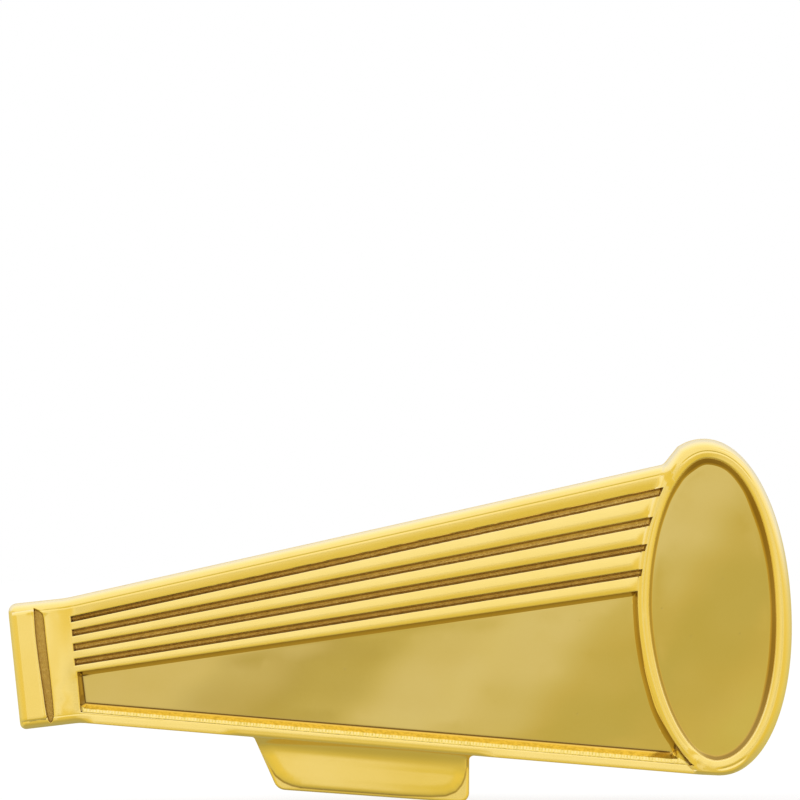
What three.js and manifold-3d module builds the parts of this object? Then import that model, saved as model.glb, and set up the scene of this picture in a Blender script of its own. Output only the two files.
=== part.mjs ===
// Cheer-megaphone insignia pin: a die-struck, gold-plated badge face with two
// soldered posts, each post holding a butterfly clutch.
//
// Frame: millimetres. The badge stands as it is worn: +X runs along the
// megaphone towards its bell, +Z is up, and the struck face looks along -Y.
// The origin lies on the flat back (the plane y = 0), at the centre of the
// badge's outline. Posts and clutches stand on the +Y side.

import * as THREE from 'three';
import * as BufferGeometryUtils from 'three/addons/utils/BufferGeometryUtils.js';
import Module from 'manifold-3d';

const wasm = await Module();
wasm.setup();

// ------------------------------------------------------ badge face dimensions

// Heights above the back plane
const FLANGE_HEIGHT = 0.70;      // trimmed edge, and the thin lip round the handle
const BODY_HEIGHT = 1.75;        // rims and ridges of the megaphone
const RING_HEIGHT = 1.95;        // ring round the bell
const BAND_HEIGHT = 1.90;        // mouthpiece band
const CROWN_HEIGHT = 1.20;       // crown of the handle
const PANEL_FLOOR_HEIGHT = 1.15; // floor of the lower panel and of the bell
const STRIPE_FLOOR_HEIGHT = 1.40;
const MOUTH_FLOOR_HEIGHT = 1.40;

// Heights where the upper layers start, buried in the layer below
const BODY_ROOT = 0.25;
const CROWN_ROOT = 0.30;
const RAISED_ROOT = 0.60;        // ring and band

const BODY_ROUND = 0.33;         // rounding along the outer edge
const CROWN_ROUND = 0.25;
const RAISED_ROUND = 0.20;       // rounding of the ring and band

const RING_MARGIN = 0.08;        // the ring is trimmed this far inside the body's outline
const RING_TRIM_FROM = 0.5;      // heights of the trimming plate, past the ring both ways
const RING_TRIM_TO = 3;
const STRIPE_DRAFT = 0.05;       // how far a stripe's floor is inset from its mouth
const MOUTH_DRAFT = 0.03;
const GROOVE_OVERCUT = 0.6;      // how far a cutting tool reaches above its mouth
const BELL_OVERCUT = 0.1;

// Outline corners: x, z, corner radius. The bell's curve closes the loop.
const OUTLINE_TOP_AND_MOUTHPIECE = [
  [10.707, 6.346, 0.365], [-13.59, 0.908, 4.46], [-15.926, 0.657, 0.38],
  [-15.39, -4.391, 0.38], [-12.953, -4.104, 2.433],
];
const OUTLINE_HANDLE = [
  [-5.93, -4.692, 0.162], [-4.977, -6.824, 0.487], [2.776, -7.372, 0.365], [2.784, -5.425, 0.203],
];
const OUTLINE_BELL_FOOT = [[12.175, -6.21, 2.433]];
const BELL_CURVE_FROM = [12.763, -6.236];    // bottom end of the bell's curve: x, z
const BELL_CURVE_TO = [11.283, 7.064];       // top end
const BELL_CURVE_POINTS = 44;

// Rounded ovals: tilt in radians, one exponent for each side, egg is a taper
const BELL_RIM = {
  x: 12.6268, z: 0.5708, halfWidth: 3.2318, halfHeight: 6.8235, tilt: 0.0614,
  rightPower: 2.0822, leftPower: 2.0822, egg: 0,
};
const BELL_RING = {
  x: 12.66, z: 0.50, halfWidth: 3.05, halfHeight: 6.62, tilt: 0.05,
  rightPower: 2.1, leftPower: 1.95, egg: 0,
};
const BELL_WALL = {
  x: 12.6621, z: 0.4973, halfWidth: 2.5614, halfHeight: 6.1192, tilt: 0.0359,
  rightPower: 2.1264, leftPower: 1.8437, egg: 0.0186,
};
const BELL_FLOOR = {
  x: 12.630, z: 0.432, halfWidth: 2.405, halfHeight: 5.925, tilt: 0.0377,
  rightPower: 2.08, leftPower: 1.86, egg: 0.01,
};
const RING_POINTS = 64;
const BELL_POINTS = 56;

// Tapered stripe grooves at their mouths, x and z of each corner:
// left top, right top, right bottom, left bottom
const STRIPES = [
  [[-13.371, 0.195], [10.679, 5.454], [10.525, 5.085], [-13.347, -0.028]],
  [[-13.318, -0.341], [10.245, 4.254], [10.107, 3.881], [-13.29, -0.6]],
  [[-13.27, -0.912], [10.01, 3.151], [9.928, 2.859], [-13.237, -1.2]],
  [[-13.217, -1.521], [9.827, 2.133], [9.774, 1.849], [-13.185, -1.788]],
];

// Lower panel, x and z: corners at its mouth, and the matching ones at its floor
const PANEL_MOUTH = [
  [-13.099, -2.048], [-12.957, -3.67], [11.932, -5.839], [11.688, -5.636], [11.364, -5.231],
  [10.837, -4.42], [10.391, -3.609], [10.127, -2.798], [9.924, -1.987], [9.803, -1.176],
  [9.701, -0.365], [9.62, 0.852], [9.62, 1.237],
];
const PANEL_FLOOR = [
  [-12.905, -2.218], [-12.771, -3.305], [11.04, -5.308], [10.958, -5.069], [10.796, -4.825],
  [10.553, -4.42], [10.188, -3.609], [9.945, -2.798], [9.742, -1.987], [9.6, -1.176],
  [9.499, -0.365], [9.43, 0.77], [9.438, 1.014],
];

// Groove across the mouthpiece: x, z
const MOUTH_GROOVE = [
  [-14.863, 0.527], [-14.588, 0.365], [-14.478, 0.162], [-14.377, -0.77], [-14.19, -2.376],
  [-14.073, -3.52], [-14.077, -3.933], [-14.19, -4.095], [-14.332, -3.771], [-14.527, -2.514],
  [-14.762, -0.831],
];

// Raised band at the mouthpiece's end, and crown of the handle: x, z, corner radius
const BAND = [
  [-15.78, 0.36, 0.24], [-14.95, 0.45, 0.24], [-14.41, -3.88, 0.24], [-15.26, -4.16, 0.24],
];
const HANDLE_CROWN = [
  [-5.66, -4.40, 0.3], [-4.80, -6.60, 0.5], [2.60, -7.12, 0.45], [2.60, -5.20, 0.3],
];

// Where the posts stand on the back, and each clutch's turn about its post.
// The turns keep the wings behind the badge.
const STUDS = [
  { end: 'bell_end', x: 10.715, z: 0.284, turnDegrees: -65 },
  { end: 'handle_end', x: -1.936, z: -1.663, turnDegrees: 5 },
];
const POCKET_DEPTH = 0.12;       // shallow seat struck in the back for each pad
const POCKET_RADIUS = 2.35;

// -------------------------------------------------------------- point helpers

const difference = (p, q) => [p[0] - q[0], p[1] - q[1]];
const along = (p, direction, by) => [p[0] + direction[0] * by, p[1] + direction[1] * by];

function unit(vector) {
  const length = Math.hypot(...vector) || 1;
  return [vector[0] / length, vector[1] / length];
}

// Offset, on the left-hand side, that moves both sides of a corner out by 1
function miter(arriving, leaving) {
  const scale = 1 + arriving[0] * leaving[0] + arriving[1] * leaving[1];
  return [(-arriving[1] - leaving[1]) / scale, (arriving[0] + leaving[0]) / scale];
}

const toVectors = (points) => points.map(([x, y]) => new THREE.Vector2(x, y));
const signedArea = (points) => THREE.ShapeUtils.area(toVectors(points));

// Points of a rounded oval, anticlockwise
function oval({ x, z, halfWidth, halfHeight, tilt, rightPower, leftPower, egg }, count) {
  const points = [];
  const cosTilt = Math.cos(tilt);
  const sinTilt = Math.sin(tilt);
  for (let i = 0; i < count; i++) {
    const angle = (2 * Math.PI * i) / count;
    const across = Math.cos(angle);
    const up = Math.sin(angle);
    const power = across > 0 ? rightPower : leftPower;
    // The egg taper depends on the radius itself, so the radius is found by iteration
    let radius = 1;
    for (let k = 0; k < 30; k++) {
      const acrossTerm = Math.pow(Math.abs(across * radius), power);
      const upTerm = Math.pow(Math.abs(up * radius * (1 + egg * across * radius)), power);
      radius /= Math.pow(acrossTerm + upTerm, 1 / power);
    }
    const u = across * radius * halfWidth;
    const v = up * radius * halfHeight;
    points.push([x + u * cosTilt - v * sinTilt, z + u * sinTilt + v * cosTilt]);
  }
  return points;
}

// The part of an oval that runs anticlockwise from one point to another
function ovalArc(shape, from, to, count) {
  const all = oval(shape, 1440);
  const nearest = (target) => {
    const distances = all.map((p) => Math.hypot(...difference(p, target)));
    return distances.indexOf(Math.min(...distances));
  };
  const first = nearest(from);
  let last = nearest(to);
  if (last < first) last += all.length;
  return Array.from({ length: count }, (_, k) => (
    all[Math.round(first + ((last - first) * k) / (count - 1)) % all.length]
  ));
}

// A polygon with rounded corners, from x, y and an optional radius for each;
// maxTurn is the largest angle between arc points
function rounded(corners, maxTurn = 0.35) {
  return corners.flatMap((corner, i) => {
    const [x, y, radius = 0] = corner;
    if (radius === 0) return [[x, y]];
    const toPrevious = unit(difference(corners.at(i - 1), corner));
    const toNext = unit(difference(corners[(i + 1) % corners.length], corner));
    const cosine = toPrevious[0] * toNext[0] + toPrevious[1] * toNext[1];
    const angle = Math.acos(Math.max(-1, Math.min(1, cosine)));
    const bisector = unit([toPrevious[0] + toNext[0], toPrevious[1] + toNext[1]]);
    const centre = along(corner, bisector, radius / Math.sin(angle / 2));
    const angleTo = (direction) => {
      const tangentPoint = along(corner, direction, radius / Math.tan(angle / 2));
      return Math.atan2(tangentPoint[1] - centre[1], tangentPoint[0] - centre[0]);
    };
    const start = angleTo(toPrevious);
    let sweep = angleTo(toNext) - start;
    while (sweep > Math.PI) sweep -= 2 * Math.PI;
    while (sweep < -Math.PI) sweep += 2 * Math.PI;
    const steps = Math.max(1, Math.ceil(Math.abs(sweep) / maxTurn));
    return Array.from({ length: steps + 1 }, (_, k) => {
      const turn = start + (sweep * k) / steps;
      return [centre[0] + radius * Math.cos(turn), centre[1] + radius * Math.sin(turn)];
    });
  });
}

// Moves every side of a polygon inwards, whichever way it winds
function inset(points, by) {
  const inward = signedArea(points) > 0 ? by : -by;
  return points.map((p, i) => {
    const arriving = unit(difference(p, points.at(i - 1)));
    const leaving = unit(difference(points[(i + 1) % points.length], p));
    return along(p, miter(arriving, leaving), inward);
  });
}

// -------------------------------------------------------------- solid helpers

// A closed geometry becomes a solid, its shared vertices merged and its faces pointing out
function solid(geometry) {
  geometry.deleteAttribute('normal');
  geometry.deleteAttribute('uv');
  const merged = BufferGeometryUtils.mergeVertices(geometry, 1e-5);
  const { position } = merged.attributes;
  const vertex = (i) => new THREE.Vector3().fromBufferAttribute(position, i);
  const indices = merged.index.array;
  const triangles = [];
  let volume = 0;
  for (let i = 0; i < indices.length; i += 3) {
    const [a, b, c] = [indices[i], indices[i + 1], indices[i + 2]];
    if (a === b || b === c || c === a) continue;
    triangles.push([a, b, c]);
    volume += vertex(a).dot(vertex(b).cross(vertex(c)));
  }
  const outward = volume < 0 ? triangles.map(([a, b, c]) => [a, c, b]) : triangles;
  return new wasm.Manifold(new wasm.Mesh({
    numProp: 3,
    vertProperties: Float32Array.from(position.array),
    triVerts: Uint32Array.from(outward.flat()),
  }));
}

function toGeometry(manifold) {
  const mesh = manifold.getMesh();
  const geometry = new THREE.BufferGeometry();
  const position = Float32Array.from(mesh.vertProperties);
  geometry.setAttribute('position', new THREE.BufferAttribute(position, 3));
  geometry.setIndex(new THREE.BufferAttribute(Uint32Array.from(mesh.triVerts), 1));
  geometry.computeVertexNormals();
  return geometry;
}

// Shape axes to the badge's axes, extruding towards the struck face (-Y) or the
// back (+Y). Coordinates are swapped directly, so nothing is rounded.
function reorient(geometry, swap) {
  const p = geometry.attributes.position;
  for (let i = 0; i < p.count; i++) p.setXYZ(i, ...swap(p.getX(i), p.getY(i), p.getZ(i)));
  return geometry;
}
const towardsFace = (geometry) => reorient(geometry, (x, y, z) => [x, -z, y]);
const towardsBack = (geometry) => reorient(geometry, (x, y, z) => [x, z, -y]);

// An outline extruded from low to high, with both end edges rounded
function extrude(points, low, high, round = 0) {
  const geometry = new THREE.ExtrudeGeometry(new THREE.Shape(toVectors(points)), {
    depth: high - low - 2 * round,
    steps: 1,
    bevelEnabled: round > 0,
    bevelThickness: round,
    bevelSize: round,
    bevelOffset: -round,
    bevelSegments: 2,
  });
  return geometry.translate(0, 0, low + round);
}

// A plate between two heights above the back plane
const plate = (points, low, high, round) => solid(towardsFace(extrude(points, low, high, round)));

// A tool for a recess with drafted walls: the outline at its mouth, another with
// as many corners at its floor, and the walls carried on above the mouth by overcut
function sinking({ mouth, floor, low, high, overcut }) {
  const reversed = signedArea(mouth) < 0;
  const upper = reversed ? [...mouth].reverse() : mouth;
  const lower = reversed ? [...floor].reverse() : floor;
  const count = lower.length;
  const growth = (high + overcut - low) / (high - low);
  const top = upper.map((p, i) => along(lower[i], difference(p, lower[i]), growth));
  const vertices = [
    ...lower.flatMap(([x, y]) => [x, y, low]),
    ...top.flatMap(([x, y]) => [x, y, high + overcut]),
  ];
  const faces = [];
  for (const [a, b, c] of THREE.ShapeUtils.triangulateShape(toVectors(lower), [])) {
    faces.push(c, b, a, a + count, b + count, c + count);
  }
  for (let i = 0; i < count; i++) {
    const next = (i + 1) % count;
    faces.push(i, next, count + next, i, count + next, count + i);
  }
  const geometry = new THREE.BufferGeometry();
  geometry.setAttribute('position', new THREE.Float32BufferAttribute(vertices, 3));
  geometry.setIndex(faces);
  return solid(towardsFace(geometry));
}

// A turned piece about the Y axis, from a closed profile of (radius, y)
function turned(profile, sides) {
  const points = toVectors(profile);
  const endsOnAxis = profile[0][0] === 0 && profile.at(-1)[0] === 0;
  if (!endsOnAxis) points.push(points[0].clone());
  return solid(new THREE.LatheGeometry(points, sides));
}

const cylinder = (radius, from, to, sides) => (
  turned([[0, from], [radius, from], [radius, to], [0, to]], sides)
);

// A rounded rectangle in the X-Z plane, extruded along +Y
function tower({ width, depth, corner, from, to, round }) {
  const [x, z] = [width / 2, depth / 2];
  const corners = [[-x, -z, corner], [x, -z, corner], [x, z, corner], [-x, z, corner]];
  return solid(towardsBack(extrude(rounded(corners, 0.5), from, to, round)));
}

// A bent strip of even thickness, width along Z, from its centre line in the X-Y plane
function strip(path, thickness, width) {
  const directions = path.slice(1).map((p, i) => unit(difference(p, path[i])));
  const side = (offset) => path.map((p, i) => {
    const arriving = directions[Math.max(0, i - 1)];
    const leaving = directions[Math.min(directions.length - 1, i)];
    return along(p, miter(arriving, leaving), offset);
  });
  const outline = [...side(thickness / 2), ...side(-thickness / 2).reverse()];
  return solid(extrude(outline, -width / 2, width / 2));
}

// ------------------------------------------------------------------ materials

const gold = ({ color, roughness }) => (
  new THREE.MeshStandardMaterial({ color, roughness, metalness: 1 })
);
const plating = gold({ color: 0xf6d67a, roughness: 0.12 });
const brass = gold({ color: 0xe3c46c, roughness: 0.25 });
const spring = gold({ color: 0xdcb75c, roughness: 0.22 });

// Every mesh gets a material of its own
function add(parent, name, manifold, material) {
  const mesh = new THREE.Mesh(toGeometry(manifold), material.clone());
  mesh.name = name;
  parent.add(mesh);
}

// ----------------------------------------------------------------- badge face

// The ring round the bell, trimmed to stay inside the body's outline
function bellRing(bodyOutline) {
  const ring = plate(oval(BELL_RING, RING_POINTS), RAISED_ROOT, RING_HEIGHT, RAISED_ROUND);
  const trim = plate(inset(bodyOutline, RING_MARGIN), RING_TRIM_FROM, RING_TRIM_TO);
  return ring.intersect(trim);
}

const stripeGroove = (mouth) => sinking({
  mouth,
  floor: inset(mouth, STRIPE_DRAFT),
  low: STRIPE_FLOOR_HEIGHT,
  high: BODY_HEIGHT,
  overcut: GROOVE_OVERCUT,
});

const lowerPanel = () => sinking({
  mouth: PANEL_MOUTH,
  floor: PANEL_FLOOR,
  low: PANEL_FLOOR_HEIGHT,
  high: BODY_HEIGHT,
  overcut: 0,
});

const bellHollow = () => sinking({
  mouth: oval(BELL_WALL, BELL_POINTS),
  floor: oval(BELL_FLOOR, BELL_POINTS),
  low: PANEL_FLOOR_HEIGHT,
  high: RING_HEIGHT,
  overcut: BELL_OVERCUT,
});

const mouthGroove = () => sinking({
  mouth: MOUTH_GROOVE,
  floor: inset(MOUTH_GROOVE, MOUTH_DRAFT),
  low: MOUTH_FLOOR_HEIGHT,
  high: BODY_HEIGHT,
  overcut: GROOVE_OVERCUT,
});

function megaphoneFace() {
  const bellCurve = ovalArc(BELL_RIM, BELL_CURVE_FROM, BELL_CURVE_TO, BELL_CURVE_POINTS);
  const upToHandle = [...bellCurve, ...OUTLINE_TOP_AND_MOUTHPIECE];
  const wholeOutline = rounded([...upToHandle, ...OUTLINE_HANDLE, ...OUTLINE_BELL_FOOT]);
  const bodyOutline = rounded([...upToHandle, ...OUTLINE_BELL_FOOT]);

  let face = plate(wholeOutline, 0, FLANGE_HEIGHT)
    .add(plate(bodyOutline, BODY_ROOT, BODY_HEIGHT, BODY_ROUND))
    .add(plate(rounded(HANDLE_CROWN), CROWN_ROOT, CROWN_HEIGHT, CROWN_ROUND));
  // The stripes are cut before the ring is laid over their right-hand ends
  for (const stripe of STRIPES) face = face.subtract(stripeGroove(stripe));
  face = face
    .add(bellRing(bodyOutline))
    .add(plate(rounded(BAND), RAISED_ROOT, BAND_HEIGHT, RAISED_ROUND))
    .subtract(lowerPanel())
    .subtract(bellHollow())
    .subtract(mouthGroove());
  for (const { x, z } of STUDS) {
    const pocket = cylinder(POCKET_RADIUS, -POCKET_DEPTH, 1, 32);
    face = face.subtract(pocket.translate([x, 0, z]));
  }
  return face;
}

// ---------------------------------------------------------------------- posts

// Distances along Y are from the back plane
const PAD_RADIUS = POCKET_RADIUS - 0.10;
const PAD_TOP = 0.33;
const PAD_CHAMFER = 0.1;
const SHAFT_RADIUS = 0.55;
const NOTCH_RADIUS = 0.42;
const NOTCH_FROM = 4.15;
const NOTCH_TO = 4.65;
const NOTCH_SLOPE = 0.1;
const CONE_FROM = 6.0;
const TIP_Y = 7.0;
const TIP_RADIUS = 0.08;

function post() {
  return turned([
    // pad
    [0, -POCKET_DEPTH], [PAD_RADIUS, -POCKET_DEPTH],
    [PAD_RADIUS, PAD_TOP - PAD_CHAMFER], [PAD_RADIUS - PAD_CHAMFER, PAD_TOP],
    // fillet at the foot of the shaft
    [SHAFT_RADIUS + 0.22, PAD_TOP], [SHAFT_RADIUS + 0.06, PAD_TOP + 0.07],
    [SHAFT_RADIUS, PAD_TOP + 0.25],
    // notch
    [SHAFT_RADIUS, NOTCH_FROM], [NOTCH_RADIUS, NOTCH_FROM + NOTCH_SLOPE],
    [NOTCH_RADIUS, NOTCH_TO - NOTCH_SLOPE], [SHAFT_RADIUS, NOTCH_TO],
    // point
    [SHAFT_RADIUS, CONE_FROM], [SHAFT_RADIUS * 0.8, CONE_FROM + 0.4],
    [TIP_RADIUS, TIP_Y], [0, TIP_Y],
  ], 24);
}

// ------------------------------------------------------------------- clutches

// Distances along Y are from the cloth's far side, where the clutch rests
const CLOTH = 3.0;               // thickness between the badge's back and the clutch
const SHEET = 0.28;              // sheet thickness of housing and wings
const HOLE_RADIUS = SHAFT_RADIUS + 0.11;    // running hole for the post

const DISC_RADIUS = 5.0;
const DISC_THICKNESS = 0.32;
const RIM_HEIGHT = 0.90;
const RIM_INNER_RADIUS = 4.50;

const CAP_FROM = DISC_THICKNESS + 0.04;     // a running gap over the disc
const CAP_TOP = 4.45;
const CAP_WIDTH = 3.6;           // outside of the housing, along the wings
const CAP_DEPTH = 4.8;           // and across them
const CAP_CORNER = 0.55;
const CAP_INNER_CORNER = 0.3;
const CAP_TOP_ROUND = 0.35;
const CAP_FLANGE_RADIUS = 3.90;
const CAP_FLANGE_TOP = CAP_FROM + SHEET;
const CAP_FLANGE_CHAMFER = 0.08;

const WING_WIDTH = 3.6;
const WING_REACH = 5.62;         // plan length from the post's axis
const WING_TIP_RADIUS = 1.25;    // rounded outer corners
const JAW_RADIUS = 0.60;         // half-round bite taken out of each jaw
// Centre line of one wing, from jaw edge to wing tip: x from the post's axis, y
const WING_PATH = [
  [0.15, 1.20], [0.95, 1.22], [1.22, 1.50], [1.26, 2.55], [1.50, 2.95], [2.10, 3.15],
  [3.20, 3.45], [4.30, 4.00], [5.05, 4.62], [5.42, 5.10],
];

const WINDOW_LOW = 0.90;
const WINDOW_HIGH = 3.75;
const WINDOW_WIDTH = WING_WIDTH + 2 * 0.15; // clearance on both sides of a wing

function clutchBase() {
  return turned([
    // underside, flared into the hole
    [HOLE_RADIUS, 0.22], [HOLE_RADIUS + 0.25, 0], [DISC_RADIUS - 0.25, 0],
    // outside of the rim
    [DISC_RADIUS - 0.07, 0.07], [DISC_RADIUS, 0.25], [DISC_RADIUS, RIM_HEIGHT - 0.18],
    [DISC_RADIUS - 0.08, RIM_HEIGHT - 0.05], [DISC_RADIUS - 0.25, RIM_HEIGHT],
    // inside of the rim
    [RIM_INNER_RADIUS + 0.06, RIM_HEIGHT - 0.06], [RIM_INNER_RADIUS, RIM_HEIGHT - 0.2],
    [RIM_INNER_RADIUS, DISC_THICKNESS + 0.12], [RIM_INNER_RADIUS - 0.12, DISC_THICKNESS],
    // top of the disc
    [HOLE_RADIUS, DISC_THICKNESS],
  ], 48);
}

function clutchHousing() {
  const flange = turned([
    [0, CAP_FROM], [CAP_FLANGE_RADIUS, CAP_FROM],
    [CAP_FLANGE_RADIUS, CAP_FLANGE_TOP - CAP_FLANGE_CHAMFER],
    [CAP_FLANGE_RADIUS - CAP_FLANGE_CHAMFER, CAP_FLANGE_TOP], [0, CAP_FLANGE_TOP],
  ], 48);
  const outside = { width: CAP_WIDTH, depth: CAP_DEPTH, corner: CAP_CORNER, to: CAP_TOP };
  // The rounded tower starts lower, so that the square one trims off its lower rounding
  const squareTower = tower({ ...outside, from: CAP_FROM, round: 0 });
  const roundedTower = tower({ ...outside, from: 0, round: CAP_TOP_ROUND });
  const hollow = tower({
    width: CAP_WIDTH - 2 * SHEET,
    depth: CAP_DEPTH - 2 * SHEET,
    corner: CAP_INNER_CORNER,
    from: CAP_FLANGE_TOP,
    to: CAP_TOP - SHEET,
    round: 0,
  });
  const windows = new THREE.BoxGeometry(2 * CAP_WIDTH, WINDOW_HIGH - WINDOW_LOW, WINDOW_WIDTH);
  windows.translate(0, (WINDOW_LOW + WINDOW_HIGH) / 2, 0);
  return roundedTower.intersect(squareTower)
    .add(flange)
    .subtract(hollow)
    .subtract(solid(windows))
    .subtract(cylinder(HOLE_RADIUS, 0, 1.0, 24));
}

// The wing on the clutch's +X side
function wing() {
  const plan = rounded([
    [0, -WING_WIDTH / 2], [WING_REACH, -WING_WIDTH / 2, WING_TIP_RADIUS],
    [WING_REACH, WING_WIDTH / 2, WING_TIP_RADIUS], [0, WING_WIDTH / 2],
  ], 0.4);
  return strip(WING_PATH, SHEET, WING_WIDTH)
    .intersect(solid(towardsBack(extrude(plan, 0, 8))))
    .subtract(cylinder(JAW_RADIUS, 0, 2.0, 24));
}

// ------------------------------------------------------------------- assembly

const group = new THREE.Group();
add(group, 'megaphone_face', megaphoneFace(), plating);

const pin = post();
const base = clutchBase();
const housing = clutchHousing();
const wingA = wing();
const wingB = wingA.rotate([0, 180, 0]);

for (const { end, x, z, turnDegrees } of STUDS) {
  const stud = new THREE.Group();
  stud.position.set(x, 0, z);
  group.add(stud);
  add(stud, `post_${end}`, pin, plating);

  const clutch = new THREE.Group();
  clutch.position.set(0, CLOTH, 0);
  clutch.rotation.y = (turnDegrees * Math.PI) / 180;
  stud.add(clutch);
  add(clutch, `clutch_base_${end}`, base, brass);
  add(clutch, `clutch_housing_${end}`, housing, brass);
  add(clutch, `clutch_wing_a_${end}`, wingA, spring);
  add(clutch, `clutch_wing_b_${end}`, wingB, spring);
}

export default group;
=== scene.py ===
"""A gold-plated megaphone badge with two posts, each held by a spring clutch.

The badge lies in the xz plane with z up: bell at +x, mouthpiece at -x, handle below. The flat
back is at y = 0, the struck face looks towards -y, and posts and clutches stand off towards +y.
Dimensions are in mm and become metres through MM.
"""
import math
from types import SimpleNamespace

import bmesh
import bpy
import numpy as np
from mathutils import Matrix, Vector
from mathutils.geometry import delaunay_2d_cdt
from mathutils.kdtree import KDTree


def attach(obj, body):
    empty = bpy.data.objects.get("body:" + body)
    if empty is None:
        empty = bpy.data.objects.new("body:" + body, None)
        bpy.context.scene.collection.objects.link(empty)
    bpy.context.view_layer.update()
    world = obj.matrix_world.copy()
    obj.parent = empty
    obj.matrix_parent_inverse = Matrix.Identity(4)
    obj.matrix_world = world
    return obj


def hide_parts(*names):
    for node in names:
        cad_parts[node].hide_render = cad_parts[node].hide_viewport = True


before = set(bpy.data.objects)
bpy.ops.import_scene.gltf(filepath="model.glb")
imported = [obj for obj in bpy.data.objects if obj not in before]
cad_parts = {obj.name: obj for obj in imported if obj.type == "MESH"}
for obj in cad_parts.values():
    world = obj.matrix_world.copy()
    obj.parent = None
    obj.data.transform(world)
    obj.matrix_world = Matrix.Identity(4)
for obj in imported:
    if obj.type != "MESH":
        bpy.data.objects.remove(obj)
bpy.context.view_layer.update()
MM = 0.001

# ------------------------------------------------------------------ dimensions (mm)

# heights above the flat back
BODY_TOP, BELL_TOP, BAND_TOP = 1.75, 1.95, 1.90
PANEL_FLOOR_TOP, STRIPE_FLOOR_TOP, MOUTH_FLOOR_TOP = 1.15, 1.38, 1.40
HANDLE_LIP_TOP = 0.74
EDGE_RADIUS = 0.33

# (x, z, corner radius), anticlockwise from the top of the bell round to its foot
OUTLINE = [
    (10.707, 6.346, 0.365), (-13.59, 0.908, 4.46), (-15.926, 0.657, 0.324),
    (-15.39, -4.391, 0.243), (-12.953, -4.104, 2.433), (-5.93, -4.692, 0.162),
    (-4.977, -6.824, 0.487), (2.776, -7.372, 0.365), (2.784, -5.425, 0.203),
    (12.175, -6.21, 2.433),
]
HANDLE_CORNERS = (5, 6, 7, 8)

# ovals: centre x, z, half width, half height, tilt, right and left power, skew
BELL_RIM = (12.6268, 0.5708, 3.2318, 6.8235, 0.0614, 2.0822, 2.0822, 0.0)
BELL_WALL = (12.6621, 0.4973, 2.5614, 6.1192, 0.0359, 2.1264, 1.8437, 0.0186)
RIM_START, RIM_END = (12.763, -6.236), (11.283, 7.064)

# sunk stripes: (x, z) of top left, top right, bottom right, bottom left
STRIPES = [
    [(-13.371, 0.195), (10.679, 5.454), (10.525, 5.085), (-13.347, -0.028)],
    [(-13.318, -0.341), (10.245, 4.254), (10.107, 3.881), (-13.29, -0.6)],
    [(-13.27, -0.912), (10.01, 3.151), (9.928, 2.859), (-13.237, -1.2)],
    [(-13.217, -1.521), (9.827, 2.133), (9.774, 1.849), (-13.185, -1.788)],
]
# sunk panel, (x, z) at the lip and at the floor: two left corners, then up the curved right end
PANEL_TOP = [
    (-13.099, -2.048), (-12.957, -3.67), (11.932, -5.839), (11.688, -5.636), (11.364, -5.231),
    (10.837, -4.42), (10.391, -3.609), (10.127, -2.798), (9.924, -1.987), (9.803, -1.176),
    (9.701, -0.365), (9.62, 0.852), (9.62, 1.237),
]
PANEL_FLOOR = [
    (-12.905, -2.218), (-12.771, -3.305), (11.04, -5.308), (10.958, -5.069), (10.796, -4.825),
    (10.553, -4.42), (10.188, -3.609), (9.945, -2.798), (9.742, -1.987), (9.6, -1.176),
    (9.499, -0.365), (9.43, 0.77), (9.438, 1.014),
]
# groove beside the mouthpiece band, (x, z)
MOUTH = [
    (-14.863, 0.527), (-14.588, 0.365), (-14.478, 0.162), (-14.377, -0.77), (-14.19, -2.376),
    (-14.073, -3.52), (-14.077, -3.933), (-14.19, -4.095), (-14.332, -3.771),
    (-14.527, -2.514), (-14.762, -0.831),
]
# mouthpiece band and the crease inside the handle's rim, (x, z, corner radius)
BAND = [(-16.20, 0.29, 0.10), (-14.84, 0.50, 0.10), (-14.30, -3.95, 0.14), (-15.70, -4.13, 0.10)]
CREASE = [
    (-6.20, -2.60, 0), (-6.20, -4.45, 0), (-5.303, -5.88, 0.25), (-5.05, -6.29, 0.3),
    (-4.73, -6.53, 0.3), (-4.41, -6.67, 0.4), (-4.05, -6.752, 0.4), (-3.23, -6.825, 0),
    (0.01, -7.068, 0), (1.23, -7.117, 0.3), (1.835, -7.089, 0.3), (2.24, -6.934, 0.3),
    (2.483, -6.65, 0.25), (2.605, -6.366, 0.25), (2.686, -5.961, 0.3), (2.70, -2.60, 0),
]

# posts (x, z), the seats sunk in the back for them, and the clutches' turn in degrees
POSTS = {"bell_end": (10.715, 0.284), "handle_end": (-1.936, -1.663)}
TURN = {"bell_end": -65.0, "handle_end": 5.0}
SEAT_DEPTH, SEAT_RADIUS, SEAT_SIDES = 0.12, 2.35, 96
PAD_RADIUS, PAD_TOP = 2.25, 0.33
CLOTH = 3.0             # from the badge's back to the clutch's own y = 0
STRIP_THICKNESS = 0.28  # of the clutches' sheet brass

# width of the bell's inner wall seen from the front, at even angles from -180 to 180 degrees
WALL_WIDTHS = np.array([
    0.125, 0.12, 0.12, 0.115, 0.11, 0.08, 0.17, 0.18, 0.175, 0.19, 0.225, 0.225, 0.20,
    0.215, 0.25, 0.275, 0.225, 0.215, 0.25, 0.27, 0.19, 0.15, 0.13, 0.125, 0.125])
WALL_ANGLES = np.radians(np.linspace(-180, 180, len(WALL_WIDTHS)))
# width of the ring round the bell: angles in degrees, then widths
RING_ANGLES = [-180, -150, -125, -112, -104, -90, 90, 120, 127, 131, 138, 150, 180]
RING_WIDTHS = [0.49, 0.47, 0.48, 0.52, 0.70, 1.6, 1.6, 1.6, 1.2, 0.72, 0.60, 0.53, 0.49]
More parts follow.
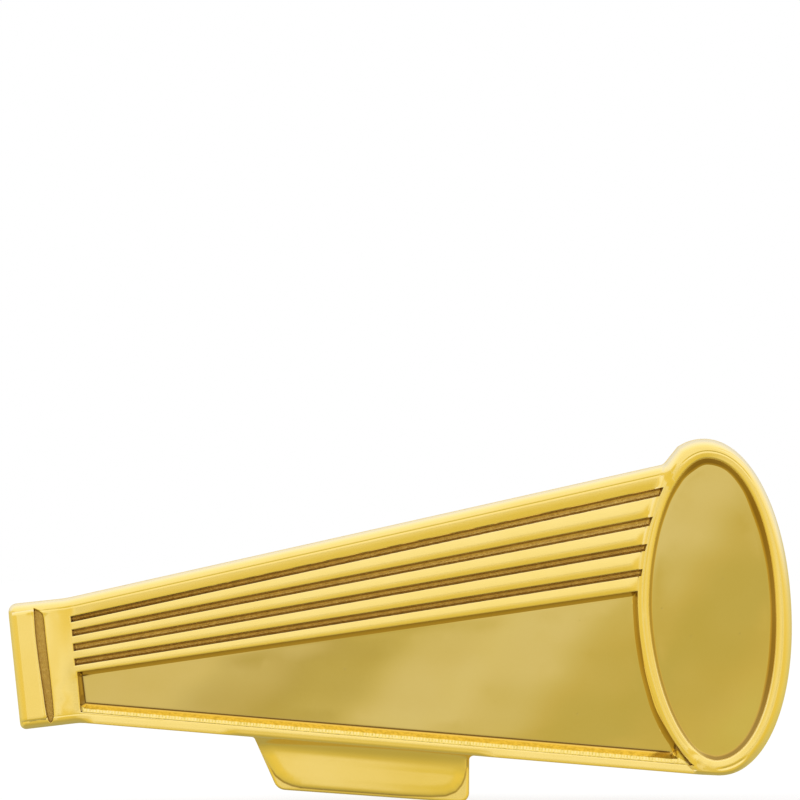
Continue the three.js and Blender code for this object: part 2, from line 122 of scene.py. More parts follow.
# tool lines round the ring: distance out, depth, width, start and end degrees, fade in degrees
RING_LINES = [
    (0.19, 0.012, 0.020, -172, -118, 8), (0.395, 0.014, 0.020, -175, -120, 8),
    (0.29, 0.020, 0.022, 58, 110, 8), (0.455, 0.013, 0.016, 60, 82, 8),
    (0.40, 0.006, 0.014, 60, 74, 4), (0.21, 0.007, 0.014, 150, 176, 8),
]
# small bumps at the top of the mouthpiece: x, z, radius, height
MOUTH_BUMPS = [(-14.99, 0.41, 0.10, 0.022), (-14.50, 0.36, 0.11, 0.022),
               (-15.73, 0.52, 0.10, 0.018)]
MARK_PITCH = 0.128      # tool marks along the panel's lower wall
TOP_RIDGE_INSET = 0.34  # from the body's top edge to the first ridge


# ------------------------------------------------------------------ plane geometry

def ease(start, end, value):
    """Smooth step from 0 at start to 1 at end."""
    share = np.clip((value - start) / (end - start), 0.0, 1.0)
    return share * share * (3 - 2 * share)


def blend(first, second, share):
    return first * (1 - share) + second * share


def hump(distance, width):
    return np.exp(-(distance / width) ** 2)


def unit(start, end):
    start, end = np.array(start), np.array(end)
    return (end - start) / np.linalg.norm(end - start)


def right_of(direction):
    return np.array([direction[1], -direction[0]])


def line_side(points, start, end):
    """Distance to the left of the line from start to end."""
    along = unit(start, end)
    return along[0] * (points[:, 1] - start[1]) - along[1] * (points[:, 0] - start[0])


def oval(shape, count):
    """Points round a tilted superellipse whose left and right halves differ."""
    x, z, half_x, half_z, tilt, right_power, left_power, skew = shape
    angles = np.linspace(0, 2 * np.pi, count, endpoint=False)
    across, up = np.cos(angles), np.sin(angles)
    power = np.where(across > 0, right_power, left_power)
    radius = np.ones_like(angles)
    for _ in range(40):
        size = (np.abs(across * radius) ** power
                + np.abs(up * radius * (1 + skew * across * radius)) ** power)
        radius = radius / size ** (1 / power)
    across, up = across * radius * half_x, up * radius * half_z
    cos, sin = math.cos(tilt), math.sin(tilt)
    return np.c_[x + across * cos - up * sin, z + across * sin + up * cos]


def round_corners(points, turn=0.03):
    """The closed line through (x, z, corner radius) points, with its corners as arcs."""
    out = []
    for i, (x, z, radius) in enumerate(points):
        point = np.array([x, z], float)
        if radius <= 0:
            out.append(point)
            continue
        back = unit(point, points[i - 1][:2])
        ahead = unit(point, points[(i + 1) % len(points)][:2])
        angle = math.acos(max(-1, min(1, float(back @ ahead))))
        cut = radius / math.tan(angle / 2)
        middle = back + ahead
        centre = point + middle / np.linalg.norm(middle) * radius / math.sin(angle / 2)
        first = math.atan2(*(point + back * cut - centre)[::-1])
        last = math.atan2(*(point + ahead * cut - centre)[::-1])
        sweep = (last - first + math.pi) % (2 * math.pi) - math.pi
        count = max(2, int(math.ceil(abs(sweep) / turn)) + 1)
        for j in range(count):
            angle = first + sweep * j / (count - 1)
            out.append(centre + radius * np.array([math.cos(angle), math.sin(angle)]))
    return np.array(out)


def split(points, step, closed=True):
    """The same line with no piece longer than step."""
    starts = points if closed else points[:-1]
    ends = np.roll(points, -1, 0) if closed else points[1:]
    out = []
    for start, end in zip(starts, ends):
        length = np.linalg.norm(end - start)
        if length < 1e-7:
            continue
        count = max(1, int(math.ceil(length / step)))
        out += [start + (end - start) * j / count for j in range(count)]
    if not closed:
        out.append(points[-1])
    return np.array(out)


def catmull(points, pieces=6):
    """A Catmull-Rom curve through the points."""
    points = np.asarray(points, float)
    out = []
    for i in range(len(points) - 1):
        p0, p1, p2, p3 = (points[max(0, min(len(points) - 1, i + k))] for k in (-1, 0, 1, 2))
        for j in range(pieces):
            t = j / pieces
            out.append(0.5 * (2 * p1 + (p2 - p0) * t + (2 * p0 - 5 * p1 + 4 * p2 - p3) * t * t
                              + (3 * p1 - p0 - 3 * p2 + p3) * t ** 3))
    out.append(points[-1])
    return np.array(out)


class Loop:
    """A closed anticlockwise line, with the distance inwards from it."""

    def __init__(self, points, step=0.09):
        points = np.asarray(points, float)
        after = np.roll(points, -1, 0)
        if (points[:, 0] * after[:, 1] - after[:, 0] * points[:, 1]).sum() < 0:
            points = points[::-1]
        self.points = split(points, step)
        self.steps = np.roll(self.points, -1, 0) - self.points
        self.squares = (self.steps ** 2).sum(1)
        self.lengths = np.sqrt(self.squares)
        self.tangents = self.steps / self.lengths[:, None]
        self.normals = np.c_[-self.tangents[:, 1], self.tangents[:, 0]]
        self.corner_normals = self.normals + np.roll(self.normals, 1, 0)
        sizes = np.linalg.norm(self.corner_normals, axis=1)
        self.inward = self.corner_normals / sizes[:, None]
        self.tree = KDTree(len(self.points))
        for i, (x, z) in enumerate(self.points + self.steps / 2):
            self.tree.insert((x, z, 0.0), i)
        self.tree.balance()

    def near(self, points):
        """The index of the piece nearest to each point."""
        find = self.tree.find
        return np.fromiter((find((x, z, 0.0))[1] for x, z in points.tolist()),
                           np.int64, len(points))

    def inside(self, points, nearest=None):
        """Distance inwards, negative outside, taken over the pieces around the nearest."""
        if nearest is None:
            nearest = self.near(points)
        best = np.full(len(points), 1e9)
        sign = np.ones(len(points))
        for k in range(-3, 4):
            i = (nearest + k) % len(self.points)
            away = points - self.points[i]
            share = (away * self.steps[i]).sum(1) / self.squares[i]
            after = self.corner_normals[(i + 1) % len(self.points)]
            normal = np.where((share >= 1)[:, None], after, self.normals[i])
            normal = np.where((share <= 0)[:, None], self.corner_normals[i], normal)
            away = away - np.clip(share, 0, 1)[:, None] * self.steps[i]
            square = (away * away).sum(1)
            closer = square < best - 1e-15
            best = np.where(closer, square, best)
            inner = np.where((away * normal).sum(1) >= 0, 1.0, -1.0)
            sign = np.where(closer, inner, sign)
        return np.sqrt(best) * sign

    def offset(self, distance, step, turn=0.14, keep=True):
        """Points moved inwards by distance (one, or one per point).

        With keep, those that fold over are dropped.
        """
        picked, run, bend = [0], 0.0, 0.0
        for i in range(1, len(self.points)):
            run += self.lengths[i - 1]
            cosine = float(np.clip(self.tangents[i] @ self.tangents[i - 1], -1, 1))
            bend += math.acos(cosine)
            if run >= step - 1e-9 or bend >= turn:
                picked.append(i)
                run, bend = 0.0, 0.0
        wanted = np.broadcast_to(distance, len(self.points))[picked]
        moved = self.points[picked] + self.inward[picked] * wanted[:, None]
        if keep:
            got = self.inside(moved)
            moved = moved[np.where(wanted >= 0, got > wanted - 0.004, got < wanted + 0.004)]
        return moved


# ------------------------------------------------------------------ outlines

def bell_arc():
    """The part of the bell's rim that shows in the outline."""
    rim = oval(BELL_RIM, 2880)
    first, last = (int(np.hypot(*(rim - np.array(end)).T).argmin())
                   for end in (RIM_START, RIM_END))
    if last < first:
        last += len(rim)
    rim = rim[np.linspace(first, last, 420).round().astype(int) % len(rim)]
    return [(x, z, 0) for x, z in rim]


def panel_loop(points):
    return Loop(np.vstack([points[:2], catmull(points[2:])]), 0.08)


ARC = bell_arc()
WHOLE = Loop(round_corners(ARC + OUTLINE))
BODY = Loop(round_corners(ARC + [c for i, c in enumerate(OUTLINE) if i not in HANDLE_CORNERS]))
BELL = Loop(oval(BELL_WALL, 900), 0.05)
PANEL_LIP = panel_loop(PANEL_TOP)
PANEL_BASE = panel_loop(PANEL_FLOOR)
MOUTH_GROOVE = Loop(catmull(MOUTH + MOUTH[:1], 5)[:-1], 0.05)
BAND_LOOP = Loop(round_corners(BAND), 0.06)
CREASE_LOOP = Loop(round_corners(CREASE), 0.06)
LINES = dict(whole=WHOLE, body=BODY, bell=BELL, panel_lip=PANEL_LIP, panel_base=PANEL_BASE,
             mouth=MOUTH_GROOVE, band=BAND_LOOP, crease=CREASE_LOOP)
PANEL_BOTTOM = (PANEL_TOP[1], PANEL_TOP[2])


def ridge_lines():
    """The (upper, lower) lines that bound each ridge, top to bottom."""
    right, left = np.array(OUTLINE[0][:2]), np.array(OUTLINE[1][:2])
    inset = right_of(unit(left, right)) * TOP_RIDGE_INSET
    upper = (tuple(left + inset), tuple(right + inset))
    ridges = []
    for top_left, top_right, bottom_right, bottom_left in STRIPES:
        ridges.append((upper, (top_left, top_right)))
        upper = (bottom_left, bottom_right)
    return ridges + [(upper, (PANEL_TOP[0], PANEL_TOP[-1]))]


RIDGES = ridge_lines()


# ------------------------------------------------------------------ relief tools

def bell_angle(points):
    """The angle round the bell, 0 at its right and rising anticlockwise."""
    x, z, half_x, half_z = BELL_WALL[:4]
    return np.arctan2((points[:, 1] - z) / half_z, (points[:, 0] - x) / half_x)


def wall_width(points):
    step = WALL_ANGLES[1] - WALL_ANGLES[0]
    angle = bell_angle(points)
    k = np.clip(((angle - WALL_ANGLES[0]) / step).astype(int), 0, len(WALL_WIDTHS) - 2)
    share = (angle - WALL_ANGLES[k]) / step
    share = share * share * (3 - 2 * share)
    return blend(WALL_WIDTHS[k], WALL_WIDTHS[k + 1], share)


def stripe_inset(points, stripe):
    """Distances inwards from a stripe's top, right, bottom and left sides."""
    return np.stack([-line_side(points, stripe[i], stripe[(i + 1) % 4]) for i in range(4)])


def arc_drop(inset, radius, depth):
    """How far a rounded edge has fallen: nothing beyond the radius, depth at the edge."""
    outer = np.clip(1 - inset / radius, 0.0, 1.0)
    return depth * (1 - np.sqrt(np.maximum(1 - outer * outer, 0.0)))


def smooth_max(first, second, width):
    share = np.clip(0.5 + 0.5 * (first - second) / width, 0, 1)
    return second + (first - second) * share + width * share * (1 - share)


def hash01(i, salt=0.0):
    value = np.sin(np.asarray(i, float) * 127.1 + salt * 311.7) * 43758.5453
    return value - np.floor(value)


def line_noise(x, salt=0.0):
    i = np.floor(x)
    share = x - i
    share = share * share * (3 - 2 * share)
    return blend(hash01(i, salt), hash01(i + 1, salt), share)


def lumps(x, z):
    """Smooth lumps of about one unit, from -1 to 1."""
    i, j = np.floor(x), np.floor(z)
    share_x, share_z = x - i, z - j
    share_x = share_x * share_x * (3 - 2 * share_x)
    share_z = share_z * share_z * (3 - 2 * share_z)
    low, top = (blend(hash01(i + row * 57.0, 5.0), hash01(i + 1 + row * 57.0, 5.0), share_x)
                for row in (j, j + 1))
    return 2 * blend(low, top, share_z) - 1


def chatter(along):
    """Height of the tool marks along the panel's lower wall."""
    phase = along / MARK_PITCH + 0.35 * line_noise(along / 0.9, 3.0)
    k = np.floor(phase)
    share = phase - k
    height = 0.45 + 0.75 * hash01(k, 1.0)
    peak = 0.35 + 0.3 * hash01(k, 2.0)
    return height * np.where(share < peak, share / peak, (1 - share) / (1 - peak))


# ------------------------------------------------------------------ relief

def nearest_pieces(points):
    return {name: line.near(points) for name, line in LINES.items()}


def measure(points, nearest):
    """Where the points lie: distances inside each line, and what follows from them."""
    at = SimpleNamespace(points=points, x=points[:, 0], z=points[:, 1])
    for name, line in LINES.items():
        setattr(at, name, line.inside(points, nearest[name]))
    at.bell_out = -at.bell
    at.wall_width = wall_width(points)
    at.above = line_side(points, *PANEL_BOTTOM)
    at.along = (points - np.array(PANEL_BOTTOM[0])) @ unit(*PANEL_BOTTOM)
    at.stripes = [stripe_inset(points, stripe) for stripe in STRIPES]
    # share of the way down the bell's wall and the panel's wall
    at.bell_fall = np.clip(at.bell / at.wall_width, 0, 1)
    slope = np.maximum(at.panel_lip + np.maximum(-at.panel_base, 0), 1e-6)
    at.panel_fall = np.clip(at.panel_lip / slope, 0, 1)
    at.low_wall = ease(0.62, 0.50, at.above) * ease(-12.93, -12.85, at.x)
    return at


def ridged_height(at):
    """The body's ridges and plain fields, before its outer edge is rounded."""
    rise, crest = 0.27, 0.60  # slope at a ridge's top edge, share of its width at its crest
    ridged = (ease(-13.45, -11.8, at.x) * ease(0.30, 0.85, at.bell_out)
              * (0.62 + 0.38 * ease(-12, 2, at.x)))
    height = np.full(len(at.x), BODY_TOP)
    for i, (upper, lower) in enumerate(RIDGES):
        from_top, from_bottom = -line_side(at.points, *upper), line_side(at.points, *lower)
        width = np.maximum(from_top + from_bottom, 1e-6)
        share = np.clip(from_top / width, 0, 1)
        if i == 0:
            curve = width * (0.02 * share - 0.085 * share * share)
        else:
            curve = width * (rise * share - rise * share * share / (2 * crest)) - 0.01
        within = (from_top >= 0) & (from_bottom >= 0)
        height = np.where(within, BODY_TOP + curve * ridged, height)
    over = line_side(at.points, *RIDGES[-1][1])
    under = np.maximum(-at.above, 0) * ease(-13.3, -12.6, at.x)
    plain = (BODY_TOP - 0.012 + 0.03 * ease(0.25, 0.0, -over) * (at.x > -13.3)
             + 0.05 * np.minimum(under, 0.45))
    height = np.where(over < 0, plain, height)
    # the plain field by the mouthpiece leans back a little at its top and its left
    field = ease(-13.2, -13.9, at.x)
    return height - field * (0.034 * (at.z + 1.8) + 0.030 * ease(-13.7, -14.4, at.x))


def edge_fall(at):
    """How far the body's rounded outer edge falls."""
    foot = ease(0.30, 0.0, at.above) * ease(-13.2, -12.4, at.x) * ease(12.6, 12.0, at.x)
    by_handle = ease(-7.3, -6.5, at.x) * ease(3.9, 3.1, at.x)
    hinge = foot * by_handle
    foot = foot * (1 - by_handle)
    least = 0.13 * EDGE_RADIUS
    fall = (arc_drop(np.maximum(at.body, least), EDGE_RADIUS, EDGE_RADIUS) * (1 - foot - hinge)
            + arc_drop(np.maximum(at.body, 0.02), 0.14, 0.03) * foot
            + arc_drop(np.maximum(at.body, 0.03), 0.30, 0.16) * hinge)
    # a steady slope beyond the steepest part
    slope = (least - at.body) * 1.73 * (1 - 0.7 * foot)
    return np.where(at.body < least, fall + slope, fall)


def ring_height(at):
    """The ring round the bell, with its tool lines and blemishes."""
    out = at.bell_out
    degrees = np.degrees(bell_angle(at.points))
    # left is 1 where the ring runs over the body, 0 where it forms the outline
    left = np.interp(degrees, [-180, -112, -104, 126, 131, 180], [1, 1, 0, 0, 1, 1])
    width = np.interp(degrees, RING_ANGLES, RING_WIDTHS)
    crown = 0.36 * (1 - left) + 0.20 * left
    ring = BELL_TOP - 0.10 * left - crown * (out - 0.29) ** 2 - arc_drop(out, 0.085, 0.075)
    under = np.interp(degrees, [-124, -112, -72, -56], [0, 1, 1, 0])
    outer = arc_drop(at.body, 0.34 - 0.16 * under, BELL_TOP - 0.02 - 1.50 - 0.26 * under)
    outer_left = arc_drop(width - out, 0.20, 0.13) + np.maximum(out - width, 0) * 5.0
    ring = ring - outer - outer_left * left
    cuts = 0.0
    for distance, depth, line_width, start, end, fade in RING_LINES:
        on = ease(start - fade, start, degrees) * ease(end + fade, end, degrees)
        cuts = cuts + depth * on * hump(out - distance, line_width)
    # a dent low on its right
    dent = ease(-88, -76, degrees) * ease(-60, -68, degrees)
    cuts = cuts + 0.050 * dent * hump(out - 0.365, 0.045)
    # a rough patch where ring and rim run together
    rough = (ease(-116, -108, degrees) * ease(-90, -97, degrees)
             * ease(0.03, 0.10, out) * ease(0.62, 0.45, out))
    cuts = cuts + 0.012 * rough * lumps(at.x / 0.20, at.z / 0.20)
    # a little fold in the corner above the body
    fold_x, fold_z = at.x - 11.04, at.z - 6.27
    lengthwise, across = 0.49 * fold_x + 0.87 * fold_z, 0.87 * fold_x - 0.49 * fold_z
    return ring - (cuts - 0.028 * hump(lengthwise, 0.26) * hump(across, 0.075))


def sunk_height(at, height):
    """The surface with mouth groove, stripes, panel and bell sunk into it."""
    lip = height
    share = np.clip(at.mouth / 0.028, 0, 1)
    height = np.where(at.mouth > 0, blend(height, MOUTH_FLOOR_TOP, share), height)
    for sides in at.stripes:
        inset = sides.min(0)
        half = np.maximum((sides[0] + sides[2]) / 2, 0.05)
        floor = STRIPE_FLOOR_TOP - 0.05 * np.clip(inset / half, 0, 1) ** 0.8
        share = np.clip(inset / 0.075, 0, 1)
        height = np.where(inset > 0, blend(height, floor, share), height)
    # faint waves in the flat floors of panel and bell
    ripple = (0.00035 * np.sin(0.9 * at.x + 1.3 * at.z)
              + 0.00025 * np.sin(1.7 * at.x - 0.8 * at.z + 1.0)
              + 0.00015 * np.sin(2.9 * at.z + 0.5 * at.x))
    # panel, its lower wall bulging and tool-marked
    fall, low = at.panel_fall, at.low_wall
    bulge = fall * (1 - low) + low * np.maximum(0.52 * fall, 1 - 1.32 * (1 - fall))
    marked = ease(0.0, 0.15, fall) * ease(0.40, 0.15, fall)
    marks = 0.018 * (chatter(at.along) - 0.4) * marked * low * (at.panel_base < 0)
    marks = marks - 0.014 * hump(fall - 0.03, 0.045) * low
    panel = blend(height, PANEL_FLOOR_TOP, bulge) + marks
    panel = np.where(at.panel_base > 0,
                     PANEL_FLOOR_TOP + ripple * ease(0, 0.5, at.panel_base), panel)
    height = np.where(at.panel_lip > 0, panel, height)
    # bell
    past = at.bell - at.wall_width
    bell = np.where(past > 0, PANEL_FLOOR_TOP + ripple * ease(0, 0.5, past),
                    blend(lip, PANEL_FLOOR_TOP, at.bell_fall))
    return np.where(at.bell > 0, bell, height)


def handle_height(at):
    """The handle, sweeping down from the body to a low lip round its rim."""
    away = np.maximum(0.10 - at.body, 0.0)
    reach = np.clip(0.956 + 0.032 * at.x, 0.84, 1.04)
    sweep = (1.265 + 0.365 * np.maximum(1 - away / reach, 0) ** 2
             - 0.035 * away - 0.0065 * (at.x - 0.2) ** 2)
    lip = HANDLE_LIP_TOP - arc_drop(at.whole, 0.10, 0.05)
    step = np.clip(-at.crease / 0.04, 0, 1)
    return np.where(at.crease > 0, sweep - arc_drop(at.crease, 0.50, 0.12),
                    blend(sweep - 0.12, lip, step))


def relief(points, nearest):
    """Height of the struck face above the flat back."""
    at = measure(points, nearest)
    fall = edge_fall(at)
    # the rounded edge ends in a fine line
    fine = 0.009 * hump(at.body - 0.365, 0.022) * (1 - 0.7 * (at.z < -4.0))
    height = ridged_height(at) - fall - fine
    # lips of the stripes and the panel
    stripe_in = np.maximum.reduce([sides.min(0) for sides in at.stripes])
    height = height - arc_drop(-stripe_in, 0.055, 0.028)
    height = height - arc_drop(-at.panel_lip, 0.06, 0.028)
    near_bell = (at.bell_out < 1.6) & (at.x > 8)
    height = np.where(near_bell, smooth_max(height, ring_height(at), 0.035), height)
    # mouthpiece band
    band = (BAND_TOP - 0.02 - arc_drop(at.band, 0.15, 0.085) - 0.045 * (-14.45 - at.x)
            - 0.024 * (at.z + 1.9) - fall * 1.05)
    height = np.where(at.band > 0, smooth_max(height, band, 0.03), height)
    for x, z, radius, rise in MOUTH_BUMPS:
        height = height + rise * np.exp(-((at.x - x) ** 2 + (at.z - z) ** 2) / radius ** 2)
    height = height - arc_drop(-at.mouth, 0.06, 0.035)
    height = sunk_height(at, height)
    on_handle = ((at.body < 0.30) & (at.z < -3.5) & ((at.body < 0) | (at.crease > 0))
                 & (at.x < 4) & (at.x > -7))
    return np.where(on_handle, smooth_max(height, handle_height(at), 0.07), height)


def surface_and_shade_masks(points, nearest):
    """What kind of surface each point is on: mirror, recess, wall, tool marks, handle; recess,
    wall and tool marks also carry painted shade, the tool marks a painted reflection too.
    """
    at = measure(points, nearest)
    fall = at.panel_fall
    on_wall = (at.panel_lip > 0) * (at.panel_base < 0)
    mirror = ((at.panel_base > 0.0) & (at.panel_lip > 0)) | (at.bell > at.wall_width)
    recess = np.zeros(len(points))
    for sides in at.stripes:
        # painted shade: each stripe's floor is darker along its edges and lighter in its lit
        # middle
        lit = np.minimum(ease(0.045, 0.13, np.minimum(sides[0], sides[3])),
                         ease(0.035, 0.085, np.minimum(sides[1], sides[2])))
        recess = np.maximum(recess, (sides.min(0) > 0) * (0.5 + 0.5 * lit))
    # painted shade: the mouth groove's floor is darker along its edge
    recess = np.maximum(recess, (at.mouth > 0) * (0.5 + 0.30 * ease(0.0, 0.04, at.mouth)))
    # painted shade: the bell's wall is coloured dark brown, less so towards its floor
    wall = ((at.bell > 0) & (at.bell < at.wall_width)) * (
        1.05 - 0.35 * ease(0.5, 1.0, at.bell_fall))
    # painted shade on the panel's other walls too, less towards the floor
    wall = np.maximum(wall, (1 - at.low_wall) * on_wall * (1.0 - 0.25 * fall))
    # the ring's wall, with its painted shade, runs on down past the end of the tool marks
    beside = np.maximum.reduce([line_side(points, start, end)
                                for start, end in zip(PANEL_TOP[2:5], PANEL_TOP[3:6])])
    past = on_wall * ease(0.16, 0.09, beside) * ease(-4.7, -5.1, at.z) * (at.x > 10.4)
    wall = np.maximum(wall, past)
    # painted shade: a dark line along the handle's crease
    crease = (at.body < -0.25) * ease(-5.85, -6.25, at.z) * hump(at.crease + 0.012, 0.030)
    wall = np.maximum(wall, crease)
    # a painted shade line round the low and left edges of the panel's floor
    floor_edge_shade = ((at.panel_lip > 0) * hump(at.panel_base + 0.010, 0.034)
            * ease(0.75, 0.45, np.minimum(at.above, (at.x + 13.1) * 1.3))
            * ease(11.15, 10.7, at.x))
    wall = np.maximum(wall, np.minimum(floor_edge_shade * 1.6, 1.25))
    # the tool-marked lower wall: rougher, with painted shade in the marks' valleys and along its
    # top edge, and a painted reflection of the gold floor along its lower band
    tool = at.low_wall * on_wall * (1 - floor_edge_shade) * (1 - past)
    ragged = fall + 0.16 * (line_noise(at.along / 0.10, 7.0) - 0.5)
    # painted reflection: deep orange along the wall's lower band
    dull = ease(0.36, 0.47, ragged) * ease(0.84, 0.74, fall)
    # painted shade in the marks' valleys
    valley_shade = (ease(0.50, 0.10, chatter(at.along)) * ease(0.04, 0.14, ragged)
              * ease(0.80, 0.60, fall) * (0.5 + 0.9 * line_noise(at.along / 0.17, 9.0)))
    # painted shade line along the wall's top edge
    fine = 0.9 * hump(fall - 0.03, 0.04)
    tool = tool * np.clip(
        np.maximum(np.maximum(0.95 * dull, 0.65 * valley_shade), fine) + 0.14, 0, 1)
    return np.c_[mirror, recess, wall, tool], (at.body < 0).astype(float)


# ------------------------------------------------------------------ lines the face mesh follows

class Sketch:
    """Points and edges for a triangulation."""

    def __init__(self):
        self.points, self.edges = [], []

    def add(self, line, closed=True):
        line = np.asarray(line, float)
        count = len(line)
        if count < 2:
            return
        base = len(self.points)
        self.points.extend(line.tolist())
        for i in range(count if closed else count - 1):
            j = (i + 1) % count
            if np.hypot(*(line[i] - line[j])) < 1.2:
                self.edges.append((base + i, base + j))

    def add_parts(self, line, keep, closed=True, gap=0.6):
        """Adds only the stretches of a line whose points are kept."""
        run = []
        for i in list(range(len(line))) + [0] * closed:
            if keep[i] and (not run or np.hypot(*(line[i] - run[-1])) < gap):
                run.append(line[i])
            else:
                self.add(run, False)
                run = [line[i]] if keep[i] else []
        self.add(run, False)

    def rings(self, loop, distances, step, test=None, gap=0.6, **options):
        """Adds a loop at several distances inwards, whole or where it passes a test."""
        for distance in distances:
            line = loop.offset(distance, step, **options)
            if test is None:
                self.add(line)
            else:
                self.add_parts(line, test(line), gap=gap)


EDGE_STEP = 0.16


def sketch_edges(sketch):
    """The outline, the body's edge and the handle."""
    sketch.rings(WHOLE, (0.0,), EDGE_STEP, turn=0.16, keep=False)
    sketch.rings(BODY, (0.018, 0.044, 0.08, 0.12, 0.17, 0.225, 0.28, 0.33, 0.348, 0.365,
                        0.382, 0.40), EDGE_STEP, lambda p: np.ones(len(p), bool), gap=0.9)
    sketch.rings(BODY, (0.0, -0.04, -0.08, -0.12, -0.16, -0.20, -0.25, -0.30, -0.36, -0.44,
                        -0.55, -0.70, -0.90, -1.15), EDGE_STEP,
                 lambda p: ((WHOLE.inside(p) > 0.015) & (p[:, 0] < 3.2) & (p[:, 0] > -6.3)
                            & (p[:, 1] < -4.4)), keep=False)
    sketch.rings(CREASE_LOOP, (-0.07, -0.04, -0.02, 0.0, 0.02, 0.05, 0.09, 0.14, 0.20, 0.28,
                               0.37, 0.48, 0.60, 0.75), 0.11,
                 lambda p: (BODY.inside(p) < 0.01) & (WHOLE.inside(p) > 0.01))
    sketch.rings(WHOLE, (0.02, 0.05, 0.10), EDGE_STEP,
                 lambda p: (BODY.inside(p) < -0.02) & (CREASE_LOOP.inside(p) < -0.075))


def sketch_stripes(sketch):
    """The stripes and the ridges between them."""
    for stripe in STRIPES:
        quad = np.array(stripe)
        for inset in (-0.055, -0.035, -0.018, -0.006, 0.0, 0.025, 0.05, 0.075, 0.11):
            moved = []
            for i in range(4):
                before = right_of(unit(quad[i - 1], quad[i]))
                after = right_of(unit(quad[i], quad[(i + 1) % 4]))
                size = 1 + float(before @ after)
                moved.append(quad[i] + (before + after) / size * inset)
            sketch.add(split(np.array(moved), 0.20))
        left, right = (quad[0] + quad[3]) / 2, (quad[1] + quad[2]) / 2
        margin = (right - left) * 0.006
        sketch.add(split(np.array([left + margin, right - margin]), 0.2, False), False)
    for upper, lower in RIDGES:
        for share in (0.12, 0.24, 0.36, 0.48, 0.58, 0.68, 0.78, 0.88):
            left, right = (blend(np.array(upper[i]), np.array(lower[i]), share)
                           for i in (0, 1))
            along = unit(left, right)
            line = split(np.array([left - along * 0.7, right + along * 0.25]), 0.20, False)
            keep = ((BODY.inside(line) > 0.37) & (MOUTH_GROOVE.inside(line) < -0.05)
                    & (BELL.inside(line) < -0.30))
            sketch.add_parts(line, keep, False)


def sketch_panel(sketch):
    """The panel's lip, walls and floor."""
    sketch.rings(PANEL_LIP, (-0.06, -0.035, -0.015, 0.0), 0.18,
                 lambda p: BODY.inside(p) > 0.02, keep=False)
    sketch.rings(PANEL_BASE, (-0.02, 0.0, 0.022, 0.05), 0.18, keep=False)
    sketch.rings(PANEL_BASE, (0.12,), 0.18)
    sketch.rings(PANEL_BASE, (0.35,), 0.25)
    lip = PANEL_LIP.offset(0.0, 0.18, keep=False)
    base = PANEL_BASE.points[PANEL_BASE.near(lip)]
    for share in (0.15, 0.35, 0.65, 0.85):
        line = blend(lip, base, share)
        sketch.add_parts(line, ~(line_side(line, *PANEL_BOTTOM) < 0.55))
    # rows for the tool marks on the lower wall
    lip_left, lip_right = np.array(PANEL_TOP[1]), np.array(PANEL_TOP[2])
    base_left, base_right = np.array(PANEL_FLOOR[1]), np.array(PANEL_FLOOR[2])
    length = float(np.linalg.norm(lip_right - lip_left))
    along = (np.arange(0.03, length - 0.01, MARK_PITCH / 3.6) / length)[:, None]
    for share in (0.03, 0.07, 0.12, 0.18, 0.25, 0.32, 0.40, 0.48, 0.58, 0.70, 0.85):
        left, right = blend(lip_left, base_left, share), blend(lip_right, base_right, share)
        sketch.add(left[None] + (right - left)[None] * along, False)


def sketch_bell(sketch):
    """The bell's wall and the ring round it."""
    width = wall_width(BELL.points)
    # settle each width at the angle where the wall meets the floor
    for _ in range(6):
        width = wall_width(BELL.points + BELL.inward * width[:, None])
    fine = dict(turn=0.10, keep=False)
    sketch.rings(BELL, [width * share for share in (0.12, 0.3, 0.5, 0.7, 0.88, 1.0)], 0.12,
                 **fine)
    sketch.rings(BELL, (width + 0.06,), 0.12, **fine)
    sketch.rings(BELL, (width + 0.2,), 0.2, **fine)
    outwards = -np.array([0.0, 0.012, 0.03, 0.055, 0.085, 0.12, 0.16, 0.19, 0.22, 0.255,
                          0.275, 0.29, 0.31, 0.34, 0.37, 0.395, 0.42, 0.445, 0.465, 0.49,
                          0.54])
    sketch.rings(BELL, outwards, 0.14, lambda p: BODY.inside(p) > 0.02, **fine)
    sketch.rings(BELL, (-0.62, -0.72), 0.14,
                 lambda p: ((BODY.inside(p) > 0.02)
                            & (np.abs(np.degrees(bell_angle(p))) < 125)), **fine)
    sketch.rings(BODY, (0.435, 0.47), EDGE_STEP, lambda p: p[:, 0] > 10.6)


def sketch_mouthpiece(sketch):
    sketch.rings(MOUTH_GROOVE, (-0.06, -0.035, -0.015, 0.0, 0.028, 0.05), 0.10,
                 turn=0.2, keep=False)
    sketch.rings(BAND_LOOP, (0.0, 0.02, 0.05, 0.09, 0.14, 0.20, 0.27, 0.34, 0.40), 0.12,
                 lambda p: (BODY.inside(p) > 0.01) & (MOUTH_GROOVE.inside(p) < 0.0))


def loose_points(taken):
    """A triangular grid of points wherever none is taken nearby."""
    cell, spacing = 0.11, 0.42

    def cell_of(x, z):
        return int(math.floor(x / cell)), int(math.floor(z / cell))

    used = set()
    for x, z in taken:
        i, j = cell_of(x, z)
        used.update((i + a, j + b) for a in (-1, 0, 1) for b in (-1, 0, 1))
    loose, z, row = [], -7.5, 0
    while z < 7.6:
        for x in np.arange(-16.0 + (spacing / 2 if row % 2 else 0), 16.0, spacing):
            if cell_of(x, z) not in used:
                loose.append((x, z))
        z += spacing * 0.866
        row += 1
    loose = np.array(loose)
    return loose[WHOLE.inside(loose) > 0.05]


# ------------------------------------------------------------------ the struck face

def doubled_areas(points, triangles):
    a, b, c = (points[triangles[:, i]] for i in range(3))
    return (b - a)[:, 0] * (c - a)[:, 1] - (b - a)[:, 1] * (c - a)[:, 0]


